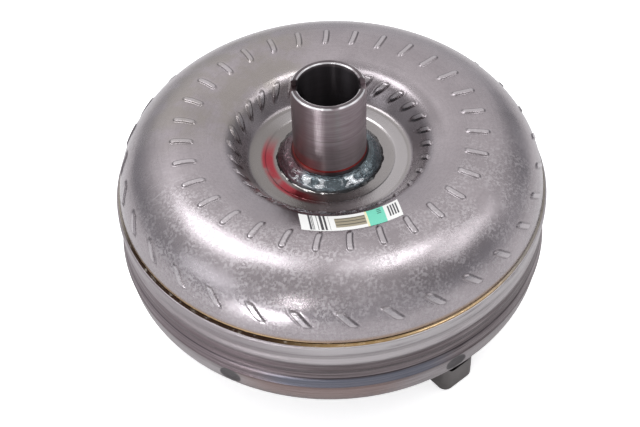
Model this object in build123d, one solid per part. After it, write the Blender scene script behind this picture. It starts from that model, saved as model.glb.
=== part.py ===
# Torque converter, 280 mm class, standing on its drive lugs with the pump hub on top.
# Millimetres. +Z runs from the engine side (lug faces, z = 0) to the transmission side (pump hub).
# Azimuth is counted from +X towards +Y.
from build123d import *
from math import asin, cos, degrees, pi, radians, sin, tan
import os

# ---------------------------------------------------------------- overall sizes
seam_z = 98.5               # plane where the impeller shell meets the front cover
seam_r = 140.0              # outer radius of the impeller shell at the seam
crown_r = 96.5              # radius of the top of the torus
crown_z = 139.8             # height of the top of the torus
hub_top_z = 179.7           # height of the pump hub's open end
cover_bottom_z = 33.0       # engine-side face of the front cover

# ---------------------------------------------------------------- clearances
braze_gap = 0.2             # between a blade and the shell it is brazed to
end_float = 0.3             # axial play of each thrust bearing
slide_gap = 0.3             # radial play of the lock-up piston on the turbine hub
race_gap = 0.3              # between moving rings of the one-way clutch

# ---------------------------------------------------------------- impeller shell
shell_wall = 3.0
recess_floor_z = 118.4      # sunk floor around the hub
recess_fillet = 5.0
flank_slope = 51.0          # steepness of the inner flank, degrees
flank_r = 62.2              # where the flank's curve starts
flank_z = 129.6
crown_split = 20.0          # slope at which the inner crown's radius changes
rim_split = 45.0            # slope at which the outer crown's radius changes
skirt_length = 8.5          # part of the shell that sits inside the cover
facing_r = 42.5             # machined ring on the recess floor
facing_depth = 0.9
shell_hole_gap = 2.2        # weld gap between the hub shoulder and the shell

# ---------------------------------------------------------------- raised vane dimples
vane_count = 31
vane_phase = 8.88           # azimuth of the first dimple of the middle ring
middle_dimple = dict(tilt=1.0, length=16.0, width=4.5, slant=6.0, height=0.8)
inner_dimple = dict(tilt=51.0, length=10.5, width=4.0, slant=32.0, height=0.6)
outer_dimple = dict(tilt=-63.3, length=14.5, width=4.2, slant=-45.0, height=0.8)
inner_lead = 11.0           # how far the vane leads at the inner dimple, degrees
outer_lead = 8.5            # how far the vane leads at the outer dimple, degrees
inner_lead_power = 2.0      # how the lead grows from the middle ring inwards
outer_lead_power = 2.4      # and outwards
vane_thickness = 1.0

# ---------------------------------------------------------------- pump hub and its weld
hub_r = 23.8
hub_bore_r = 19.85
hub_shoulder_r = 25.4
hub_shoulder_z = 126.0
hub_flange_r = 46.0
hub_flange_thickness = 8.4
hub_chamfer = 1.2
notch_width = 10.5
notch_depth = 5.0
weld_toe_r = hub_shoulder_r + 9.8
weld_top_z = 124.5
weld_belly_r = hub_shoulder_r + 5.4     # middle of the bead's rounded face
weld_belly_z = 121.9

# ---------------------------------------------------------------- core rings (inner torus)
core_r = 103.6
core_section_r = 16.6
core_wall = 1.2
seam_gap = 1.2              # from the seam plane to the edge of each blade row
core_start = 4.5            # degrees of the core ring's section, from its outer edge
core_end = 152.0
inlet_r = 59.0
inlet_z = 119.5

# ---------------------------------------------------------------- front cover
cover_wall = 5.0
cover_lip_r = seam_r + 2.5
cover_r = seam_r + 2.2
rib_top_z = 90.0
rib_bottom_z = 68.0
rib_count = 3
rib_depth = 0.9
shoulder_r = seam_r + 3.0
crease_r = seam_r + 3.6
crease_z = 59.8
corner_radius = 18.0
dish_outer_r = 70.0
dish_inner_r = 56.0
dish_depth = 8.0
dent_count = 6
dent_phase = 2.0
dent_z = 52.0
dent_radius = 30.0
dent_depth = 1.3

# ---------------------------------------------------------------- crankshaft pilot
pilot_r = 21.63
pilot_tip_z = 2.0
pilot_edge = 1.5
pilot_seat_r = pilot_r + 0.77           # part of the pilot that sits in the cover's hole
pilot_flange_r = 34.0
pilot_recess_r = 13.0
pilot_recess_depth = 5.0
pilot_weld_leg = 4.0

# ---------------------------------------------------------------- drive lugs
lug_count = 3
lug_phase = 69.0
lug_bolt_r = 117.0
lug_inner_r = 104.0
lug_outer_r = 130.0
lug_width = 27.0
lug_sheet = 2.6
lug_corner = 6.0
lug_edge = 2.2
lug_window_z = 20.0         # top of the lug's outer wall, below the gap to the cover
lug_window_corner = 5.0
nut_thread_r = 4.25         # minor radius of an M10 thread
nut_flats = 17.0
nut_height = 9.0
nut_collar_r = 7.0

# ---------------------------------------------------------------- paper label
label_inner_r = 70.3
label_outer_r = 86.0
label_length = 64.0
label_middle = 278.9        # azimuth of its middle
label_thickness = 0.25

# ---------------------------------------------------------------- turbine
turbine_inset = 4.2         # from the mirrored outline of the impeller shell
turbine_wall = 2.0
turbine_blade_count = 29
turbine_inner_lead = -30.0
turbine_outer_lead = -9.0
turbine_boss_r = 37.0
turbine_flange_r = 50.0
turbine_flange_thickness = 4.0
turbine_neck_r = 26.0
turbine_waist_r = 24.8
turbine_spline_major_r = 15.4
turbine_spline_minor_r = 14.0
turbine_spline_teeth = 24
turbine_rivet_count = 12
turbine_rivet_ring_r = 44.0
rivet_r = 2.5
rivet_head_r = 4.0
rivet_head_height = 1.5

# ---------------------------------------------------------------- lock-up damper
damper_rise = 22.0          # from the cover's outer face to the damper's middle plane
driven_plate_thickness = 3.0
driven_plate_r = 85.0
driven_flange_r = 41.0
driven_flange_thickness = 4.0
driven_rivet_count = 8
driven_rivet_ring_r = 34.5
retainer_thickness = 2.0
retainer_gap = 6.0          # between the two retainer plates
retainer_inner_r = 44.0
front_retainer_r = 92.0
rear_retainer_r = 82.0
damper_travel = 7.0         # degrees each way
slot_margin = 0.4           # degrees beyond that travel
damper_rivet_ring_r = 79.0
spring_count = 6
spring_ring_r = 66.0
spring_coil_r = 5.1
spring_wire_r = 1.25
spring_length = 41.0
spring_turns = 9
window_gap = 0.5

# ---------------------------------------------------------------- lock-up piston
piston_thickness = 3.0
piston_edge_gap = 6.2       # from the piston's edge to the start of the cover's rounded corner
piston_travel = 1.2
piston_collar_wall = 3.2
piston_collar_gap = 2.0     # from the piston's collar to the driven plate
lining_thickness = 1.6
lining_inner_r = 98.0
tab_inner_r = 87.0
tab_outer_r = 90.0
tab_width = 10.0
tab_gap_to_plate = 0.3      # from a tab's end to the driven plate's front plane
tab_gap = 0.4
seal_rise = 6.1             # from the piston's engine-side face
seal_width = 2.4
seal_depth = 1.6
seal_play = 0.1

# ---------------------------------------------------------------- stator and one-way clutch
stator_ring_inner_r = 50.0
stator_ring_outer_r = 57.5
stator_ring_drop = 3.0       # from the pump hub's flange to the end of the stator's ring
stator_lip_r = 47.0
stator_lip = 1.0
shroud_inner_r = 84.0
shroud_outer_r = 86.4
stator_vane_height = 14.0
stator_vane_count = 17
stator_vane_front = ((-3.4, 0.19), (-1.8, 0.04), (1.6, 0.14), (1.9, 0.49), (-3.9, 0.95))
stator_vane_back = ((-1.6, 0.49), (-2.8, 0.32))
cap_bore_r = 24.2
cap_thickness = 3.0
stator_race_r = 31.0
stator_sleeve_r = 23.1
stator_sleeve_reach = 2.4
stator_spline_major_r = 18.7
stator_spline_minor_r = 17.4
stator_spline_teeth = 28
roller_r = 3.2
roller_count = 10
roller_pocket_sweep = 16.0
leaf_strip = 0.3            # folded strip springs behind the rollers
leaf_folds = 7
leaf_wave = 1.7
cam_bore_gap = 1.5
snap_ring_thickness = 1.2
snap_ring_width = 3.0
snap_groove_depth = 1.4
snap_ring_gap = 10.0

# ---------------------------------------------------------------- thrust bearings
bearing_height = 4.0
bearing_race_thickness = 0.9
needle_count = 24
needle_margin = 1.4
cage_thickness = 0.8
pump_bearing_r = (33.0, 45.0)
stator_bearing_r = (25.0, 36.0)
cover_bearing_r = (17.0, 25.5)

# ---------------------------------------------------------------- heights that follow from the sizes above
cutter = 30.0                                                       # height of tools that cut through plates
hub_flange_top = recess_floor_z - shell_wall
hub_flange_bottom = hub_flange_top - hub_flange_thickness
cover_floor_z = cover_bottom_z + cover_wall
dish_z = cover_bottom_z - dish_depth
turbine_seat_z = 2 * seam_z - (recess_floor_z - turbine_inset)      # engine-side face of the turbine's floor
turbine_top_z = turbine_seat_z + turbine_wall
turbine_foot_z = cover_floor_z + bearing_height
damper_z = cover_bottom_z + damper_rise
driven_seat_z = damper_z + driven_plate_thickness / 2               # driven plate's side that meets the hub
driven_front_z = damper_z - driven_plate_thickness / 2
front_retainer_z = damper_z - retainer_gap / 2 - retainer_thickness
rear_retainer_z = damper_z + retainer_gap / 2
piston_bottom_z = cover_floor_z + end_float + lining_thickness
piston_r = cover_r - corner_radius - piston_edge_gap
piston_collar_top = driven_front_z - piston_collar_gap
tab_top_z = driven_front_z - tab_gap_to_plate
seal_z = piston_bottom_z + seal_rise
clutch_bottom = turbine_top_z + bearing_height + cap_thickness
clutch_top = hub_flange_bottom - bearing_height - cap_thickness
stator_ring_bottom = clutch_bottom - cap_thickness - stator_lip
stator_ring_top = hub_flange_top - stator_ring_drop
roller_ring_r = stator_race_r + race_gap + roller_r

parts = {}


# ================================================================ shared shapes
def turned(face):
    # Solid of revolution about Z of a face drawn in (radius, height).
    return revolve(Plane.XZ * face, Axis.Z)


def ring(inner_r, outer_r, bottom, top):
    # Plain ring or washer.
    return turned(make_face(Polyline((inner_r, bottom), (outer_r, bottom), (outer_r, top), (inner_r, top),
                                     close=True)))


def disc(radius, bottom, top):
    # Plain round bar.
    return Pos(0, 0, (bottom + top) / 2) * Cylinder(radius, top - bottom)


def outline(*points):
    # Closed face from corner points.
    return make_face(Polyline(*points, close=True))


def around(shape, count, start=0.0):
    # Separate copies of every solid, evenly spaced about Z.
    turns = [Rot(0, 0, start + 360.0 * k / count) for k in range(count)]
    return Compound([turn * solid for turn in turns for solid in shape.solids()])


def polar(radius, angle):
    return (radius * cos(radians(angle)), radius * sin(radians(angle)))


def rivet(bottom, top, ring_r):
    # Solid rivet along Z with a flat head at each end.
    shank = disc(rivet_r, bottom, top)
    lower = disc(rivet_head_r, bottom - rivet_head_height, bottom)
    upper = disc(rivet_head_r, top, top + rivet_head_height)
    return Pos(ring_r, 0, 0) * (shank + lower + upper)


# ================================================================ meridian of the torus
def arc_pair(run, drop, split, end):
    # Radii of two tangent arcs that leave the crown level, change radius at the slope "split" and
    # reach the slope "end" after the given run and drop.
    s1, c1 = sin(radians(split)), 1 - cos(radians(split))
    s2 = sin(radians(end)) - s1
    c2 = cos(radians(split)) - cos(radians(end))
    first = (run * c2 - drop * s2) / (s1 * c2 - c1 * s2)
    second = (drop * s1 - run * c1) / (s1 * c2 - c1 * s2)
    return first, second


flank_radii = arc_pair(crown_r - flank_r, crown_z - flank_z, crown_split, flank_slope)
rim_radii = arc_pair(seam_r - crown_r, crown_z - seam_z, rim_split, 90.0)


def arc_centres(radii, split_angle):
    # Centres of the crown arc and of the arc that continues it beyond split_angle.
    first = (crown_r, crown_z - radii[0])
    shift = radii[0] - radii[1]
    second = (first[0] + shift * cos(radians(split_angle)), first[1] + shift * sin(radians(split_angle)))
    return first, second


flank_centres = arc_centres(flank_radii, 90 + crown_split)
rim_centres = arc_centres(rim_radii, 90 - rim_split)


def shell_point(tilt, inset=0.0):
    # Point of the meridian whose outward normal leans tilt degrees inwards from vertical.
    if tilt >= 0:
        centre, radius = (flank_centres[0], flank_radii[0]) if tilt <= crown_split else (
            flank_centres[1], flank_radii[1])
    else:
        centre, radius = (rim_centres[0], rim_radii[0]) if -tilt <= rim_split else (
            rim_centres[1], rim_radii[1])
    angle = radians(90 + tilt)
    return (centre[0] + (radius - inset) * cos(angle), centre[1] + (radius - inset) * sin(angle))


def recess_centre():
    # Centre of the concave fillet between the recess floor and the flank.
    start = shell_point(flank_slope)
    corner = start[0] - (start[1] - recess_floor_z) / tan(radians(flank_slope))
    return (corner - recess_fillet * tan(radians(flank_slope / 2)), recess_floor_z + recess_fillet)


def shell_line(inset, start_r):
    # Meridian from start_r on the recess floor to the seam plane, moved inwards by inset.
    centre = recess_centre()
    floor = Line((start_r, recess_floor_z - inset), (centre[0], recess_floor_z - inset))
    corner = CenterArc(centre, recess_fillet + inset, 270, flank_slope)
    flank = CenterArc(flank_centres[1], flank_radii[1] - inset, 90 + flank_slope, crown_split - flank_slope)
    wall = Line(corner @ 1, flank @ 0)
    inner = CenterArc(flank_centres[0], flank_radii[0] - inset, 90 + crown_split, -crown_split)
    outer = CenterArc(rim_centres[0], rim_radii[0] - inset, 90, -rim_split)
    rim = CenterArc(rim_centres[1], rim_radii[1] - inset, 90 - rim_split, rim_split - 90)
    return [floor, corner, wall, flank, inner, outer, rim]


def band(upper, lower):
    # Face between two open lines.
    left = Line(upper[0] @ 0, lower[0] @ 0)
    right = Line(upper[-1] @ 1, lower[-1] @ 1)
    return make_face([*upper, right, *lower, left])


# ================================================================ impeller
def dimple(tilt, length, width, slant, height, azimuth):
    # Raised pill on the shell, where a vane's tab is pressed into it from inside.
    radius, z = shell_point(tilt)
    lean = radians(90 + tilt)
    normal = Vector(cos(lean), 0, sin(lean))
    along = Vector(sin(lean), 0, -cos(lean)).rotate(Axis((0, 0, 0), normal), -slant)
    seat = Plane(origin=(radius, 0, z), x_dir=along, z_dir=normal)
    pill = extrude(seat * SlotOverall(length, width), amount=height)
    pill = fillet(pill.faces().sort_by(Axis(seat.origin, normal))[-1].edges(), height * 0.6)
    root = extrude(seat * SlotOverall(length, width), amount=-shell_wall / 2)
    return Rot(0, 0, azimuth) * (pill + root)


def impeller_shell():
    hole_r = hub_shoulder_r + shell_hole_gap
    shell = turned(band(shell_line(0.0, hole_r), shell_line(shell_wall, hole_r)))
    shell += ring(seam_r - shell_wall, seam_r, seam_z - skirt_length, seam_z)
    shell -= ring(hole_r - 1, facing_r, recess_floor_z - facing_depth, recess_floor_z + 1)
    leads = [(inner_dimple, inner_lead), (middle_dimple, 0.0), (outer_dimple, outer_lead)]
    dimples = []
    for size, lead in leads:
        first = dimple(azimuth=vane_phase + lead, **size)
        dimples += [Rot(0, 0, 360.0 * k / vane_count) * first for k in range(vane_count)]
    return shell.fuse(*dimples)


def pump_hub():
    body = outline(
        (hub_bore_r, hub_flange_bottom), (hub_flange_r, hub_flange_bottom), (hub_flange_r, hub_flange_top),
        (hub_shoulder_r, hub_flange_top), (hub_shoulder_r, hub_shoulder_z - hub_chamfer),
        (hub_shoulder_r - hub_chamfer, hub_shoulder_z), (hub_r, hub_shoulder_z),
        (hub_r, hub_top_z - hub_chamfer), (hub_r - hub_chamfer, hub_top_z),
        (hub_bore_r + hub_chamfer / 2, hub_top_z), (hub_bore_r, hub_top_z - hub_chamfer / 2))
    hub = turned(body)
    notch = Pos(0, 0, hub_top_z) * Box(3 * hub_r, notch_width, 2 * notch_depth)
    return hub - notch


def hub_weld():
    # Ring weld between the hub shoulder and the machined ring of the shell.
    seat_z = recess_floor_z - facing_depth
    hole_r = hub_shoulder_r + shell_hole_gap
    crest = ThreePointArc((hub_shoulder_r, weld_top_z), (weld_belly_r, weld_belly_z), (weld_toe_r, seat_z))
    rest = Polyline((weld_toe_r, seat_z), (hole_r, seat_z), (hole_r, hub_flange_top),
                    (hub_shoulder_r, hub_flange_top), (hub_shoulder_r, weld_top_z))
    return turned(make_face([crest, *rest.edges()]))


def vane_wall(inner, outer, thickness):
    # Upright curved wall whose plan line leads by "inner" and "outer" degrees at the dimple rings.
    inner_r = shell_point(inner_dimple["tilt"])[0]
    middle_r = shell_point(middle_dimple["tilt"])[0]
    outer_r = shell_point(outer_dimple["tilt"])[0]

    def plan(radius, side):
        if radius < middle_r:
            lead = inner * ((middle_r - radius) / (middle_r - inner_r)) ** inner_lead_power
        else:
            lead = outer * ((radius - middle_r) / (outer_r - middle_r)) ** outer_lead_power
        return polar(radius, lead + degrees(side * thickness / 2 / radius))

    radii = [inlet_r - 5 + k * (seam_r - inlet_r + 5) / 8 for k in range(9)]
    left = Spline(*[plan(radius, 1) for radius in radii])
    right = Spline(*[plan(radius, -1) for radius in radii])
    face = make_face([left, right, Line(left @ 0, right @ 0), Line(left @ 1, right @ 1)])
    return Pos(0, 0, seam_z) * extrude(face, amount=crown_z - seam_z)


def flow_passage(inset):
    # Solid of the space between a shell and its core ring, from the inlet line to the seam gap.
    inner_r = inlet_r - 8
    line = shell_line(inset, inner_r)
    under = make_face([*line, Line(line[-1] @ 1, (inner_r, seam_z)), Line((inner_r, seam_z), line[0] @ 0)])
    core_tip = (core_r + (core_section_r + braze_gap) * cos(radians(core_end)),
                seam_z + (core_section_r + braze_gap) * sin(radians(core_end)))
    hub_side = outline((inner_r - 1, seam_z - 1), (core_tip[0], seam_z - 1), core_tip, (inlet_r, inlet_z),
                       (inlet_r, crown_z), (inner_r - 1, crown_z))
    core = Pos(core_r, seam_z) * Circle(core_section_r + braze_gap)
    below = Pos(core_r, seam_z) * Rectangle(2 * seam_r, 2 * seam_gap)
    inside = outline(core_tip, (core_tip[0], seam_z), (core_r, seam_z))
    return turned(under - hub_side - core - below - inside)


def core_ring():
    sweep = core_end - core_start
    outside = CenterArc((core_r, seam_z), core_section_r, core_start, sweep)
    inside = CenterArc((core_r, seam_z), core_section_r - core_wall, core_start, sweep)
    return turned(band([outside], [inside]))


def mirrored(shape):
    # Turbine side of the torus.
    return mirror(shape, about=Plane.XY.offset(seam_z))


def impeller_blades():
    blade = vane_wall(inner_lead, outer_lead, vane_thickness) & flow_passage(shell_wall + braze_gap)
    return around(blade, vane_count, vane_phase)


# ================================================================ front cover side
def cover_corner(inset=0.0):
    # Rounded edge between the cover's wall and its flat face.
    centre = (cover_r - corner_radius, cover_bottom_z + corner_radius)
    return CenterArc(centre, corner_radius - inset, 0, -90)


def cover_outline():
    # Engine-side half of the housing: outer face from the lip down to the pilot hole.
    step = (rib_top_z - rib_bottom_z) / (2 * rib_count)
    crests = [(cover_r - rib_depth * (k % 2), rib_top_z - k * step) for k in range(2 * rib_count + 1)]
    ribs = Spline(*crests)
    corner = cover_corner()
    lip = Polyline((seam_r, seam_z), (cover_lip_r - 0.6, seam_z), (cover_lip_r, seam_z - 0.6),
                   (cover_lip_r, rib_top_z + 1.5), ribs @ 0)
    shoulder = Polyline(ribs @ 1, (cover_r - rib_depth, rib_bottom_z - 0.8), (shoulder_r - 0.4, rib_bottom_z - 2),
                        (shoulder_r, crease_z + 1), (crease_r, crease_z), (cover_r, crease_z - 1.4),
                        corner @ 0)
    floor = Polyline(corner @ 1, (dish_outer_r, cover_bottom_z), (dish_inner_r, dish_z), (pilot_seat_r, dish_z))
    return [*lip.edges(), ribs, *shoulder.edges(), corner, *floor.edges()]


def cover_cavity_outline():
    # Inner face of the cover, back up to the lip, with the counterbore for the impeller's skirt.
    corner = cover_corner(cover_wall)
    floor = Polyline((pilot_seat_r, cover_floor_z - dish_depth), (dish_inner_r - 2, cover_floor_z - dish_depth),
                     (dish_outer_r - 2, cover_floor_z), corner @ 1)
    wall = Polyline(corner @ 0, (cover_r - cover_wall, seam_z - skirt_length), (seam_r, seam_z - skirt_length),
                    (seam_r, seam_z))
    return [*floor.edges(), corner, *wall.edges()]


def front_cover():
    outer = cover_outline()
    inner = cover_cavity_outline()
    hole = Line(outer[-1] @ 1, inner[0] @ 0)
    cover = turned(make_face([*outer, hole, *inner]))
    ball_r = cover_r + dent_radius - dent_depth
    dent = Pos(ball_r, 0, dent_z) * Sphere(dent_radius)
    return cover.cut(*[Rot(0, 0, dent_phase + 360.0 * k / dent_count) * dent for k in range(dent_count)])


def seam_weld():
    # Narrow bead in the corner between the cover's lip and the impeller shell.
    return turned(outline((seam_r, seam_z), (seam_r + 1.3, seam_z), (seam_r + 0.9, seam_z + 0.9),
                          (seam_r, seam_z + 1.3)))


def crank_pilot():
    floor_z = cover_floor_z - dish_depth
    seat_z = dish_z - pilot_weld_leg
    body = outline(
        (0, pilot_tip_z + pilot_recess_depth), (pilot_recess_r, pilot_tip_z + pilot_recess_depth),
        (pilot_recess_r + pilot_edge, pilot_tip_z), (pilot_r - pilot_edge, pilot_tip_z),
        (pilot_r, pilot_tip_z + pilot_edge), (pilot_r, seat_z), (pilot_seat_r, seat_z),
        (pilot_seat_r, floor_z), (pilot_flange_r, floor_z), (pilot_flange_r, cover_floor_z),
        (turbine_spline_major_r, cover_floor_z), (turbine_spline_major_r, floor_z), (0, floor_z))
    return turned(body)


def pilot_weld():
    return turned(outline((pilot_seat_r, dish_z), (pilot_seat_r, dish_z - pilot_weld_leg),
                          (pilot_seat_r + pilot_weld_leg, dish_z)))


def mounting_lugs():
    # Stamped cup open towards the cover, with its outer wall cut lower than its sides.
    length = lug_outer_r - lug_inner_r
    middle = (lug_outer_r + lug_inner_r) / 2
    height = cover_bottom_z + corner_radius / 4
    cup = extrude(Pos(middle, 0) * RectangleRounded(length, lug_width, lug_corner), amount=height)
    cup = fillet(cup.faces().sort_by(Axis.Z)[0].edges(), lug_edge)
    hollow = RectangleRounded(length - 2 * lug_sheet, lug_width - 2 * lug_sheet, lug_corner - lug_sheet)
    cup -= Pos(0, 0, lug_sheet) * extrude(Pos(middle, 0) * hollow, amount=height)
    window_width = lug_width - lug_corner
    opening = RectangleRounded(window_width, height, lug_window_corner)
    window = extrude(Plane.YZ * Pos(0, lug_window_z + height / 2) * opening, amount=lug_outer_r + 1)
    cup -= window & (Pos(lug_outer_r, 0, height) * Box(2 * lug_corner, lug_width, 2 * height))
    cup -= Pos(lug_bolt_r, 0, lug_sheet / 2) * Cylinder(nut_collar_r, lug_sheet * 2)
    corner = cover_corner()
    rest = Polyline(corner @ 1, (0, cover_bottom_z), (0, seam_z), (cover_r, seam_z), corner @ 0)
    drum = turned(make_face([corner, *rest.edges()]))
    return around(cup - drum, lug_count, lug_phase)


def lug_nuts():
    hexagon = extrude(Pos(lug_bolt_r, 0, lug_sheet) * RegularPolygon(nut_flats / 2, 6, major_radius=False),
                      amount=nut_height)
    collar = Pos(lug_bolt_r, 0, lug_sheet / 2) * Cylinder(nut_collar_r, lug_sheet)
    thread = Pos(lug_bolt_r, 0, 0) * Cylinder(nut_thread_r, 4 * nut_height)
    return around(hexagon + collar - thread, lug_count, lug_phase)


def part_label():
    # Paper sticker lying on the inner crown.
    centre = flank_centres[0]
    radius = flank_radii[0]
    outer_tilt = degrees(asin((crown_r - label_outer_r) / radius))
    inner_tilt = degrees(asin((crown_r - label_inner_r) / radius))
    under = CenterArc(centre, radius, 90 + outer_tilt, inner_tilt - outer_tilt)
    over = CenterArc(centre, radius + label_thickness, 90 + outer_tilt, inner_tilt - outer_tilt)
    edge_lines = []
    for side in (-1, 1):
        near = Vector(*polar(label_inner_r, label_middle + side * degrees(label_length / 2 / label_inner_r)))
        far = Vector(*polar(label_outer_r, label_middle + side * degrees(label_length / 2 / label_outer_r)))
        reach = (far - near) / 2
        edge_lines.append((near - reach, far + reach))
    (left_in, left_out), (right_in, right_out) = edge_lines
    plan = make_face(Polyline(left_in, left_out, right_out, right_in, close=True))
    sweep = degrees(label_length / label_inner_r)
    sticker = revolve(Plane.XZ * band([over], [under]), Axis.Z, sweep)
    return (Rot(0, 0, label_middle - sweep / 2) * sticker) & extrude(plan, amount=crown_z + 1)


# ================================================================ turbine
def turbine_shell():
    shell = turned(band(shell_line(turbine_inset, turbine_boss_r + 0.2),
                        shell_line(turbine_inset + turbine_wall, turbine_boss_r + 0.2)))
    shell -= ring(crown_r, seam_r, seam_z - 1, seam_z + seam_gap)
    return mirrored(shell) - turbine_rivet_holes()


def turbine_rivet_holes():
    return around(Pos(turbine_rivet_ring_r, 0, seam_z / 2) * Cylinder(rivet_r, seam_z * 2), turbine_rivet_count)


def turbine_blades():
    wall = vane_wall(turbine_inner_lead, turbine_outer_lead, vane_thickness)
    blade = wall & flow_passage(turbine_inset + turbine_wall + braze_gap)
    return mirrored(around(blade, turbine_blade_count))


def spline_bore(minor_r, major_r, teeth, bottom, top):
    # Tool for a straight-sided internal spline.
    bore = disc(minor_r, bottom, top)
    width = pi * minor_r / teeth
    groove = Pos((minor_r + major_r) / 2 - 0.5, 0, (bottom + top) / 2) * Box(
        major_r - minor_r + 1, width, top - bottom)
    return bore.fuse(*around(groove, teeth).solids())


def turbine_hub():
    flange_bottom = turbine_seat_z - turbine_flange_thickness
    driven_top = driven_seat_z + driven_flange_thickness
    body = outline(
        (turbine_spline_minor_r - 2, turbine_foot_z), (turbine_neck_r, turbine_foot_z),
        (turbine_neck_r, driven_seat_z), (driven_flange_r, driven_seat_z), (driven_flange_r, driven_top),
        (turbine_waist_r + 3, driven_top), (turbine_waist_r, driven_top + 3),
        (turbine_waist_r, flange_bottom - 6), (turbine_waist_r + 6, flange_bottom),
        (turbine_flange_r, flange_bottom), (turbine_flange_r, turbine_seat_z),
        (turbine_boss_r, turbine_seat_z), (turbine_boss_r, turbine_top_z),
        (turbine_spline_minor_r - 2, turbine_top_z))
    hub = turned(body)
    hub -= spline_bore(turbine_spline_minor_r, turbine_spline_major_r, turbine_spline_teeth,
                       turbine_foot_z - 1, turbine_top_z + 1)
    hub -= ring(turbine_neck_r - seal_depth, turbine_neck_r + 1, seal_z - seal_width / 2, seal_z + seal_width / 2)
    hub -= turbine_rivet_holes()
    return hub - driven_rivet_holes()


def turbine_rivets():
    bottom = turbine_seat_z - turbine_flange_thickness
    return around(rivet(bottom, turbine_top_z, turbine_rivet_ring_r), turbine_rivet_count)


def driven_rivet_holes():
    return around(Pos(driven_rivet_ring_r, 0, damper_z) * Cylinder(rivet_r, cutter), driven_rivet_count)


def driven_rivets():
    return around(rivet(driven_front_z, driven_seat_z + driven_flange_thickness, driven_rivet_ring_r), driven_rivet_count)


def spring_windows(height):
    # Openings that hold the damper springs, cut through a plate of the given height about damper_z.
    window = Pos(spring_ring_r, 0, damper_z) * Box(
        2 * (spring_coil_r + spring_wire_r + window_gap), spring_length + 2 * window_gap, height)
    return around(window, spring_count)


def driven_plate():
    plate = ring(turbine_neck_r + braze_gap, driven_plate_r, driven_front_z, driven_seat_z)
    half = damper_travel + slot_margin
    middle = 180.0 / spring_count
    arc = CenterArc((0, 0), damper_rivet_ring_r, middle - half, 2 * half)
    slot = Pos(0, 0, damper_z - cutter / 2) * extrude(SlotArc(arc, 2 * (rivet_r + tab_gap)), amount=cutter)
    plate -= spring_windows(cutter)
    plate -= around(slot, spring_count)
    return plate - driven_rivet_holes()


def piston_seal_ring():
    return ring(turbine_neck_r - seal_depth, turbine_neck_r + slide_gap / 3, seal_z - seal_width / 2 + seal_play,
                seal_z + seal_width / 2 - seal_play)


# ================================================================ damper

def damper_rivet_holes():
    hole = Pos(damper_rivet_ring_r, 0, damper_z) * Cylinder(rivet_r, cutter)
    return around(hole, spring_count, 180.0 / spring_count)


def front_retainer():
    plate = ring(retainer_inner_r, front_retainer_r, front_retainer_z, front_retainer_z + retainer_thickness)
    depth = front_retainer_r - tab_inner_r + tab_gap + 1
    notch = Pos(tab_inner_r - tab_gap + depth / 2, 0, damper_z) * Box(depth, tab_width + 2 * tab_gap, cutter)
    return plate - spring_windows(cutter) - damper_rivet_holes() - around(notch, spring_count)


def rear_retainer():
    plate = ring(retainer_inner_r, rear_retainer_r, rear_retainer_z, rear_retainer_z + retainer_thickness)
    return plate - spring_windows(cutter) - damper_rivet_holes()


def damper_rivets():
    one = rivet(front_retainer_z, rear_retainer_z + retainer_thickness, damper_rivet_ring_r)
    return around(one, spring_count, 180.0 / spring_count)


def damper_springs():
    wire_length = spring_length - 2 * spring_wire_r
    helix = Helix(pitch=wire_length / spring_turns, height=wire_length, radius=spring_coil_r)
    section = Plane(origin=helix @ 0, z_dir=helix % 0) * Circle(spring_wire_r)
    coil = sweep(section, path=helix)
    lying = Pos(spring_ring_r, 0, damper_z) * Rot(90, 0, 0) * Pos(0, 0, -wire_length / 2) * coil
    return around(lying, spring_count)


# ================================================================ lock-up piston

def lockup_piston():
    bore = turbine_neck_r + slide_gap
    top = piston_bottom_z + piston_thickness
    collar_r = bore + piston_collar_wall
    body = outline(
        (bore, piston_bottom_z), (piston_r, piston_bottom_z), (piston_r, top), (collar_r, top),
        (collar_r, piston_collar_top), (bore, piston_collar_top))
    middle = (tab_inner_r + tab_outer_r) / 2
    tab = Pos(middle, 0, (top + tab_top_z) / 2 - 0.5) * Box(tab_outer_r - tab_inner_r, tab_width, tab_top_z - top + 1)
    return turned(body).fuse(*around(tab, spring_count).solids())


def friction_lining():
    return ring(lining_inner_r, piston_r - 1, piston_bottom_z - lining_thickness, piston_bottom_z)


# ================================================================ stator and one-way clutch
def stator_wheel():
    hub_ring = ring(stator_ring_inner_r, stator_ring_outer_r, stator_ring_bottom, stator_ring_top)
    lip = ring(stator_lip_r, stator_ring_inner_r + 1, stator_ring_bottom, stator_ring_bottom + stator_lip)
    low = seam_z - stator_vane_height / 2
    shroud = ring(shroud_inner_r, shroud_outer_r, low, low + stator_vane_height)
    nose = Spline(*[(across, low + share * stator_vane_height) for across, share in stator_vane_front])
    middle = [(across, low + share * stator_vane_height) for across, share in stator_vane_back]
    back = Spline(nose @ 1, *middle, nose @ 0)
    section = make_face([nose, back])
    vane = Pos(stator_ring_outer_r - 1, 0, 0) * extrude(Plane.YZ * section,
                                                        amount=shroud_inner_r - stator_ring_outer_r + 2)
    groove_z = clutch_top + cap_thickness
    wheel = (hub_ring + lip + shroud).fuse(*around(vane, stator_vane_count).solids())
    return wheel - ring(stator_ring_inner_r - 1, stator_ring_inner_r + snap_groove_depth, groove_z,
                        groove_z + snap_ring_thickness)


def snap_ring():
    # Open ring that holds the clutch parts in the stator wheel.
    bottom = clutch_top + cap_thickness
    whole = ring(stator_ring_inner_r + snap_groove_depth - snap_ring_width,
                 stator_ring_inner_r + snap_groove_depth, bottom, bottom + snap_ring_thickness)
    return whole - Pos(stator_ring_inner_r, 0, bottom) * Box(4 * snap_ring_width, snap_ring_gap, cutter)


def clutch_cap(bottom):
    return ring(cap_bore_r, stator_ring_inner_r, bottom, bottom + cap_thickness)


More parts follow.
